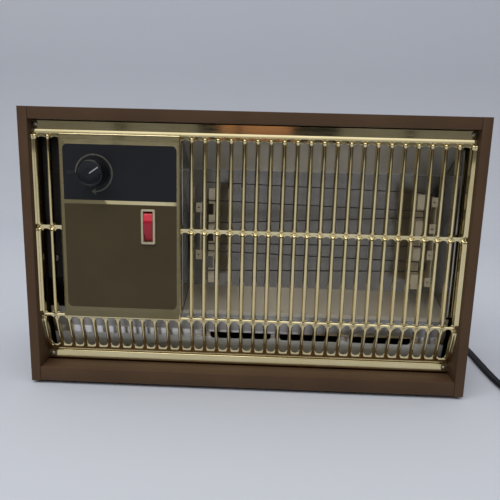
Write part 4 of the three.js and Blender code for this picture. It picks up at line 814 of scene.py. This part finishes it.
def shaft_hole(radius):
    """A cutter for the thermostat shaft's hole."""
    profile = [(0, -4), (radius, -4), (radius, 12), (0, 12)]
    return turned("shaft_hole", profile, place(KNOB_X, 0, KNOB_Z), 40)


def switch_block(name, wide, tall, front, back):
    """A block centred on the rocker switch. Width and height are given by their halves."""
    low = place(SWITCH_X - wide, front, SWITCH_Z - tall)
    return block(name, low, place(SWITCH_X + wide, back, SWITCH_Z + tall))


def raised_area():
    """The flat raised field for the controls: a leaning lower margin, a shaft hole and a switch window."""
    field = block("field", place(-191.5, FIELD_FRONT, 71.4), place(-69.5, SHELF, 260.6))
    edit(field)
    choose(field, lambda face: face.normal.y > 0.9)
    bpy.ops.mesh.delete(type="FACE")
    round_edges(field, runs_back, 1.6, 4)
    near = place(0, FIELD_FRONT + 0.5, 0).y

    def in_front_rim(edge):
        return all(v.co.y < near for v in edge.verts) and edge.is_manifold and edge.calc_face_angle() > 0.3

    round_edges(field, in_front_rim, 1.1, 4)
    edit(field)
    choose(field, lambda face: face.normal.y < -0.999)
    bpy.ops.mesh.inset(thickness=0.5 * MM)
    bpy.ops.mesh.select_all(action="SELECT")
    bpy.ops.mesh.bisect(plane_co=place(0, 0, FIELD_BEND), plane_no=(0, 0, 1))
    edit(field, "VERT")
    low, back = place(0, 0, 74).z, place(0, 7, 0).y
    choose(field, lambda corner: corner.co.z < low and corner.co.y < back, "verts")
    bpy.ops.transform.translate(value=(0, -2.2 * MM, 0))
    modify(field, "SOLIDIFY", thickness=SHEET * MM, offset=-1)
    cut_out(field, shaft_hole(4.4))
    return cut_out(field, switch_block("window", 6.2, 17, 0, 12))


def make_grille():
    """All the bars side by side. Behind the raised field only their upper and lower ends are made."""
    foot_rows = [flat_row(*spot) for spot in FOOT_LINE]
    rows = head_rows() + bar_rows() + skirt_rows() + foot_rows
    whole, left, right = (press_bar("bar", rows, outer) for outer in (0, -1, 1))
    top = press_bar("bar_top", head_rows() + [flat_row(SHELF, 257.5)])
    fold_rows = [upright_row(z, 1.6, 0, FULL, 0) for z in (73, 72.2)]
    low = press_bar("bar_low", fold_rows + skirt_rows() + foot_rows)
    bars = []
    for index in range(BARS):
        x = (index - (BARS - 1) / 2) * PITCH
        usual = (top, low) if index in BEHIND_FIELD else (whole,)
        masters = {0: (left,), BARS - 1: (right,)}.get(index, usual)
        bars += [copy_at(master, x) for master in masters]
    for master in (whole, left, right, top, low):
        bpy.data.objects.remove(master)
    grille = join(bars, "brass_grille")
    for corner in grille.data.vertices:
        corner.co.x = min(max(corner.co.x, -EDGE * MM), EDGE * MM)
        corner.co += Vector((0, -MIDDLE_DEPTH * MM, FOOT_HEIGHT * MM))
    edit(grille, "VERT", "SELECT")
    bpy.ops.mesh.remove_doubles(threshold=0.01 * MM)
    close_up(grille, smooth=0)
    return modify(grille, "SOLIDIFY", thickness=SHEET * MM, offset=-1)


WALL_OUTSIDE = 218.4
WALL = 1.1


def end_wall(name, x):
    """The sheet's end, turned back beside the case."""
    line = [(8.9, 262), (8.9, 70), (23.5, 29.7), (26.7, 29.7), (22, 70), (22, 262)]
    wall = draw(name, [place(x, y, z) for y, z in line], closed=True)
    pull(Vector((WALL * MM, 0, 0)))
    return soften(close_up(wall), 0.25, 2, 60)


grille = make_grille()
walls = [end_wall("grille_end_left", -WALL_OUTSIDE), end_wall("grille_end_right", WALL_OUTSIDE - WALL)]
grille = shade(join([grille, raised_area(), *walls], "brass_grille"), 48)
fit(grille, brass, stands_for=["front_grille"])


# CAD pieces that stay: softened edges and smooth rounds, by modifiers alone


def make_smooth_group():
    """Shades a mesh smooth, with edges sharper than thirty degrees kept crisp."""
    group = bpy.data.node_groups.new("smooth_by_angle", "GeometryNodeTree")
    group.interface.new_socket(name="Geometry", in_out="INPUT", socket_type="NodeSocketGeometry")
    group.interface.new_socket(name="Geometry", in_out="OUTPUT", socket_type="NodeSocketGeometry")
    n, link = group.nodes, group.links
    given, out = n.new("NodeGroupInput"), n.new("NodeGroupOutput")
    faces, edges = n.new("GeometryNodeSetShadeSmooth"), n.new("GeometryNodeSetShadeSmooth")
    faces.domain, edges.domain = "FACE", "EDGE"
    faces.inputs["Shade Smooth"].default_value = True
    edges.inputs["Shade Smooth"].default_value = False
    angle, sharp = n.new("GeometryNodeInputMeshEdgeAngle"), n.new("FunctionNodeCompare")
    sharp.operation = "GREATER_THAN"
    sharp.inputs["B"].default_value = math.radians(30)
    link.new(given.outputs["Geometry"], faces.inputs["Geometry"])
    link.new(angle.outputs["Unsigned Angle"], sharp.inputs["A"])
    link.new(faces.outputs["Geometry"], edges.inputs["Geometry"])
    link.new(sharp.outputs["Result"], edges.inputs["Selection"])
    link.new(edges.outputs["Geometry"], out.inputs["Geometry"])
    return group


SMOOTH = make_smooth_group()


def dress(names, finish, edge=0.25, segments=2):
    """Gives CAD nodes a finish, rounded edges and smooth shading, with their meshes as they are."""
    for name in names:
        node = nodes[name]
        for slot in node.material_slots:
            slot.material = finish
        weld = node.modifiers.new("weld", "WELD")
        weld.merge_threshold = 0.005 * MM
        if edge:
            bevel = node.modifiers.new("edges", "BEVEL")
            bevel.width = edge * MM
            bevel.segments = segments
            bevel.limit_method = "ANGLE"
            bevel.angle_limit = math.radians(40)
        node.modifiers.new("smooth", "NODES").node_group = SMOOTH


dress(["top_panel", "base_panel", "left_side_panel", "right_side_panel"], enamel, 0.5, 3)
dress(["rear_panel"], enamel, 0.2)
dress(["foot_front_left", "foot_front_right", "foot_rear_left", "foot_rear_right"], rubber, 0.5, 3)
dress(["reflector"], reflector_sheet, 0.2)
dress(["bulkhead_left", "bulkhead_right"], mirror_sheet, 0.2)
dress(["lower_apron"], apron_sheet, 0.2)
dress(["motor_strap", "fan_shroud"], galvanised, 0.2)
dress(["control_bracket"], blackened, 0.2)
dress(["bracket_screw", "thermostat_nut", "thermostat_shaft"], screw_steel, 0.1, 1)
dress(["motor_shaft", "rocker_pin"], screw_steel, 0.1, 1)
dress(["thermostat_body"], mica, 0.3)
dress(["mica_comb_left", "mica_comb_right", "eyelet_strip_left", "eyelet_strip_right"], mica, 0.1, 1)
dress(["heating_ribbon_upper", "heating_ribbon_lower"], nichrome, 0)
dress(["limit_switch"], mica, 0.2)
dress(["fan_blades"], fan_metal, 0)
dress(["motor_stator", "motor_rotor"], lamination, 0.2)
dress(["motor_coil"], copper_coil, 0.3)
dress(["bearing_bracket_front", "bearing_bracket_rear"], galvanised, 0.3)


# Control plates and their print


PLATE_FRONT, PLATE_BACK = 4.4, 4.95
DIAL_X, DIAL_Z = -156, 222


def plate(name, low_z, high_z, side):
    """A thin plate with its two upper or lower corners rounded, by the sign of the side."""
    piece = block(name, place(-187, PLATE_FRONT, low_z), place(-73.3, PLATE_BACK, high_z))
    middle = place(0, 0, (low_z + high_z) / 2).z
    round_edges(piece, lambda edge: runs_back(edge) and (edge.verts[0].co.z - middle) * side > 0, 5, 8)
    return close_up(piece, smooth=0)


dial_panel = cut_out(plate("dial_panel", 195, 250.2, 1), shaft_hole(4.2))
fit(soften(dial_panel, 0.12, 2, 50), plate_black, stands_for=["dial_plate"])
switch_window = switch_block("window", 6.2, 17.1, 0, 12)
switch_panel = cut_out(plate("switch_panel", 83, 191.2, -1), switch_window)
fit(soften(switch_panel, 0.12, 2, 50), plate_olive, stands_for=["switch_plate"])


def printed_arc(name, radius, wide, start, sweep, steps):
    """A thin printed line round the knob, from a start angle, turning clockwise as seen."""
    middle = place(DIAL_X, PLATE_FRONT, DIAL_Z)
    ray = Vector((math.cos(math.radians(start)), 0, math.sin(math.radians(start))))
    near = middle + ray * (radius - wide / 2) * MM
    arc = draw(name, [near, near + ray * wide * MM])
    bpy.ops.mesh.select_all(action="SELECT")
    bpy.ops.mesh.spin(steps=steps, angle=-math.radians(sweep), center=middle, axis=(0, 1, 0))
    close_up(arc, smooth=0)
    modify(arc, "SOLIDIFY", thickness=0.08 * MM, offset=0)
    return close_up(arc, smooth=0)


def printed_shape(name, corners):
    """A flat printed mark, given by its corners in the panel's own plane."""
    mark = draw(name, [place(x, PLATE_FRONT - 0.06, z) for x, z in corners], closed=True)
    pull(Vector((0, 0.1 * MM, 0)))
    return close_up(mark, smooth=0)


def printed_word(name, text, x, z, size, finish):
    """Raised print: letters drawn as outlines, given a little thickness and made a mesh."""
    rest()
    bpy.ops.object.text_add(location=place(x, PLATE_FRONT - 0.04, z), rotation=(math.pi / 2, 0, 0))
    word = latest(name)
    word.data.body = text
    word.data.size = size * MM
    word.data.align_x = "CENTER"
    word.data.align_y = "CENTER"
    word.data.extrude = 0.04 * MM
    bpy.ops.object.convert(target="MESH")
    fit(close_up(bpy.context.object, smooth=0), finish)


arc_line = printed_arc("dial_line", 18.3, 1.5, 180, 272, 72)
arrow = printed_shape("dial_arrow", [(-158.8, 203.8), (-154, 207.3), (-155.5, 203.8), (-154, 200.3)])
ticks = [
    printed_shape("dial_tick_top", [(-157, 241.2), (-155, 241.2), (-156, 238.2)]),
    printed_shape("dial_tick_side", [(-136.8, 223), (-136.8, 221), (-139.8, 222)]),
]
fit(join([arc_line, arrow, *ticks], "dial_print"), dial_gold)
printed_word("dial_off", "OFF", -179.6, 222, 4.4, faint_ink)
printed_word("switch_one", "1", -87, 183.3, 5.2, dark_ink)
printed_word("switch_two", "2", -87, 155, 5.2, dark_ink)


# Thermostat knob, rocker and screws


def make_knob():
    """A moulded knob: a straight fluted grip, a crisp rounded rim and a shallow dished face."""
    profile = [
        (0, 3.3), (12.9, 3.3), (13.45, 3.1), (13.6, 2.6), (13.55, 1.4), (13.2, 1.0), (13.05, 0.4),
        (12.9, -13.3), (12.75, -13.95), (12.4, -14.35), (11.9, -14.5), (11.3, -14.45), (10.9, -14.25),
        (10.5, -14.1), (5, -14.0), (0, -14.0),
    ]
    middle = place(KNOB_X, 0, KNOB_Z)
    steps = 144
    knob = close_up(turned("knob_moulding", profile, middle, steps), smooth=0)
    edit(knob, "VERT")

    def in_flute(corner):
        spot = (corner.co - middle) / MM
        step = math.degrees(math.atan2(spot.z, spot.x)) * steps / 360
        return -13.2 < spot.y < 0.2 and math.hypot(spot.x, spot.z) > 12.5 and round(step) % 4 == 0

    choose(knob, in_flute, "verts")
    bpy.ops.transform.resize(value=(0.965, 1, 0.965), center_override=middle)
    return shade(knob, 50)


POINTER_TURN = math.radians(144.5)


def make_pointer():
    """The white line let into the knob's face."""
    middle = place(KNOB_X, 0, KNOB_Z)
    low, high = Vector((-10.4, -14.5, -0.6)), Vector((0.2, -13.6, 0.6))
    line = block("pointer_line", low * MM + middle, high * MM + middle)
    pick(line)
    bpy.ops.transform.rotate(value=-POINTER_TURN, orient_axis="Y", center_override=middle)
    return soften(close_up(line), 0.2, 2, 50)


fit(make_knob(), knob_black, "thermostat_dial", ["thermostat_knob"])
fit(make_pointer(), white_line, "thermostat_dial", ["knob_pointer"])


def make_bezel():
    """The switch housing: a thin rounded frame over the window, and the case behind the plate."""
    frame_ring = switch_block("switch_housing", 7.2, 17.8, 2.2, 4.35)
    round_edges(frame_ring, runs_back, 1.6, 5)
    front = place(0, 3, 0).y
    round_edges(frame_ring, lambda edge: all(v.co.y < front for v in edge.verts), 0.8, 4)
    body = close_up(switch_block("housing_body", 5.9, 16.7, 4.2, 27.2), smooth=0)
    close_up(frame_ring, smooth=0)
    modify(frame_ring, "BOOLEAN", operation="UNION", object=body, solver="EXACT")
    bpy.data.objects.remove(body)
    pocket = switch_block("pocket", 4.9, 15.8, 0, 21.5)
    round_edges(pocket, runs_back, 0.7, 3)
    cut_out(frame_ring, pocket)
    terminals = []
    for way in (-1, 0, 1):
        z = SWITCH_Z + way * 10.7
        low, high = place(SWITCH_X - 2.2, 27.0, z - 0.4), place(SWITCH_X + 2.2, 34.5, z + 0.4)
        terminals.append(soften(close_up(block("terminal", low, high)), 0.15, 1, 50))
    return join([soften(frame_ring, 0.2, 2, 50), *terminals], "switch_housing")


ROCKER_PIVOT = place(SWITCH_X, 8.8, SWITCH_Z)
ROCKER_TURN = math.radians(-12)


def make_rocker():
    """The rocker: a front that bends over the pivot, rounded ends and a rounded back inside the housing."""
    line = [
        (14.5, 0.2), (14.5, 2.0), (13.8, 3.4), (5.5, 6.6), (-3, 6.9), (-13.8, 5.2), (-14.5, 3.8),
        (-14.5, 0.2), (-9, -5.2), (-3, -7.2), (3, -7.2), (9, -5.2),
    ]
    outline = [ROCKER_PIVOT + Vector((-4.5, -out, up)) * MM for up, out in line]
    rocker = draw("rocker_cap", outline, closed=True)
    pull(Vector((9 * MM, 0, 0)))
    close_up(rocker, smooth=0)
    soften(rocker, 0.45, 3, 40)
    pick(rocker)
    bpy.ops.transform.rotate(value=ROCKER_TURN, orient_axis="X", center_override=ROCKER_PIVOT)
    return close_up(rocker, smooth=18)


fit(make_bezel(), bezel_cream, stands_for=["rocker_switch_body"])
# Painted highlight: the rocker's top end, above a line 6.5 mm over the pivot, keeps the lighter pink, and
# below that line it is painted a deeper red as painted shade
zoned(rocker_red, [(ROCKER_PIVOT.z + 6.5 * MM, 0.6 * MM, "a5122a", 0.26)])
fit(make_rocker(), rocker_red, "switch_rocker_body", ["switch_rocker"])


def make_screw(name, x, z, seat):
    """A domed screw head with a cross recess, and its shank."""
    profile = [
        (0, -1.5), (0.9, -1.46), (1.7, -1.2), (2.3, -0.75), (2.6, -0.2), (2.6, 0), (1.4, 0), (1.4, 6),
        (0.9, 7.5), (0, 7.8),
    ]
    screw = close_up(turned(name, profile, place(x, seat, z), 32), smooth=0)
    for wide, tall in ((1.5, 0.31), (0.31, 1.5)):
        near, far = place(x - wide, seat - 2, z - tall), place(x + wide, seat - 0.75, z + tall)
        cut_out(screw, block("recess", near, far))
    fit(shade(screw, 35), screw_steel, stands_for=[name.replace("head", "screw")])


for side, way in (("left", -1), ("right", 1)):
    make_screw("grille_head_top_" + side, way * 215.926, 269, 12)
    make_screw("grille_head_bottom_" + side, way * 214, 21.5, 24.3)


# Light, floor and backdrop


def sky():
    """Studio surroundings: bright overhead, a glow in front up to the horizon, and dim elsewhere."""
    world = bpy.data.worlds.new("studio")
    bpy.context.scene.world = world
    world.use_nodes = True
    n, link = world.node_tree.nodes, world.node_tree.links
    where, split = n.new("ShaderNodeTexCoord"), n.new("ShaderNodeSeparateXYZ")
    link.new(where.outputs["Generated"], split.inputs["Vector"])

    def ramp(socket, low, high, to_low, to_high):
        step = range_step(world.node_tree, split.outputs[socket], low, high)
        step.interpolation_type = "SMOOTHSTEP"
        step.inputs["To Min"].default_value = to_low
        step.inputs["To Max"].default_value = to_high
        return step.outputs["Result"]

    def combine(first, second, how):
        step = n.new("ShaderNodeMath")
        step.operation = how
        link.new(first, step.inputs[0])
        link.new(second, step.inputs[1])
        return step.outputs["Value"]

    overhead = ramp("Z", 0.3, 0.62, 0.03, 1.3)
    floor_glow = ramp("Z", -0.13, 0.002, 0.42, 0.6)
    over_horizon = ramp("Z", -0.028, -0.016, 1, 0.19)
    in_front = ramp("Y", -0.97, -0.7, 1, 0)
    glow = combine(combine(floor_glow, over_horizon, "MULTIPLY"), in_front, "MULTIPLY")
    link.new(combine(overhead, glow, "ADD"), n["Background"].inputs["Strength"])
    n["Background"].inputs["Color"].default_value = (0.97, 0.98, 1, 1)


def soft_light(name, spot, aim, size, power):
    """A broad lamp at a spot, turned to its aim."""
    lamp = bpy.data.objects.new(name, bpy.data.lights.new(name, "AREA"))
    bpy.context.scene.collection.objects.link(lamp)
    lamp.data.shape = "RECTANGLE"
    lamp.data.size, lamp.data.size_y = size
    lamp.data.energy = power
    lamp.location = spot
    lamp.rotation_euler = (Vector(aim) - Vector(spot)).to_track_quat("-Z", "Y").to_euler()


def backdrop():
    """A pale floor that curves up into a wall behind the object."""
    half_width, bend, radius = 3, 0.9, 0.5
    line = [Vector((-half_width, -2.5, 0)), Vector((-half_width, bend, 0))]
    for step in range(1, 13):
        angle = math.radians(step * 7.5)
        y, z = bend + radius * math.sin(angle), radius * (1 - math.cos(angle))
        line.append(Vector((-half_width, y, z)))
    line.append(Vector((-half_width, bend + radius, 3)))
    sweep = draw("studio_sweep", line)
    pull(Vector((2 * half_width, 0, 0)))
    close_up(sweep, smooth=60)
    sweep.data.materials.append(sweep_paint)


def make_card(name, spot, turn, size, finish):
    """A card beside or before the set that only reflections see, for the tones in the brass."""
    rest()
    bpy.ops.mesh.primitive_plane_add(size=1, location=spot, rotation=turn)
    card = latest(name)
    card.scale = (*size, 1)
    card.data.materials.append(finish)
    card.visible_camera = False
    card.visible_diffuse = False
    card.visible_shadow = False


sky()
soft_light("key", (-0.5, -0.9, 1.7), (0, 0, 0.15), (1.3, 0.8), 10.4)
backdrop()
for side, x in (("left", -0.62), ("right", 0.62)):
    make_card("card_" + side, (x, 0.07, 0.5), (0, math.pi / 2, 0), (1.0, 0.86), card_black)
CARD_DISTANCE = 0.95
for low, high, foot, top, near, finish in (
    (-0.169, 0.199, 0.265, 0.56, 0, card_black), (-0.11, -0.068, 0.277, 0.34, 0.004, card_brown),
    (-0.055, 0.073, 0.277, 0.34, 0.004, card_brown), (-0.388, -0.356, 0.24, 0.56, 0, card_grey),
    (0.366, 0.39, 0.24, 0.56, 0, card_grey),
):
    spot = ((low + high) / 2, near - CARD_DISTANCE, (foot + top) / 2)
    make_card("card_front", spot, (math.pi / 2, 0, 0), (high - low, top - foot), finish)
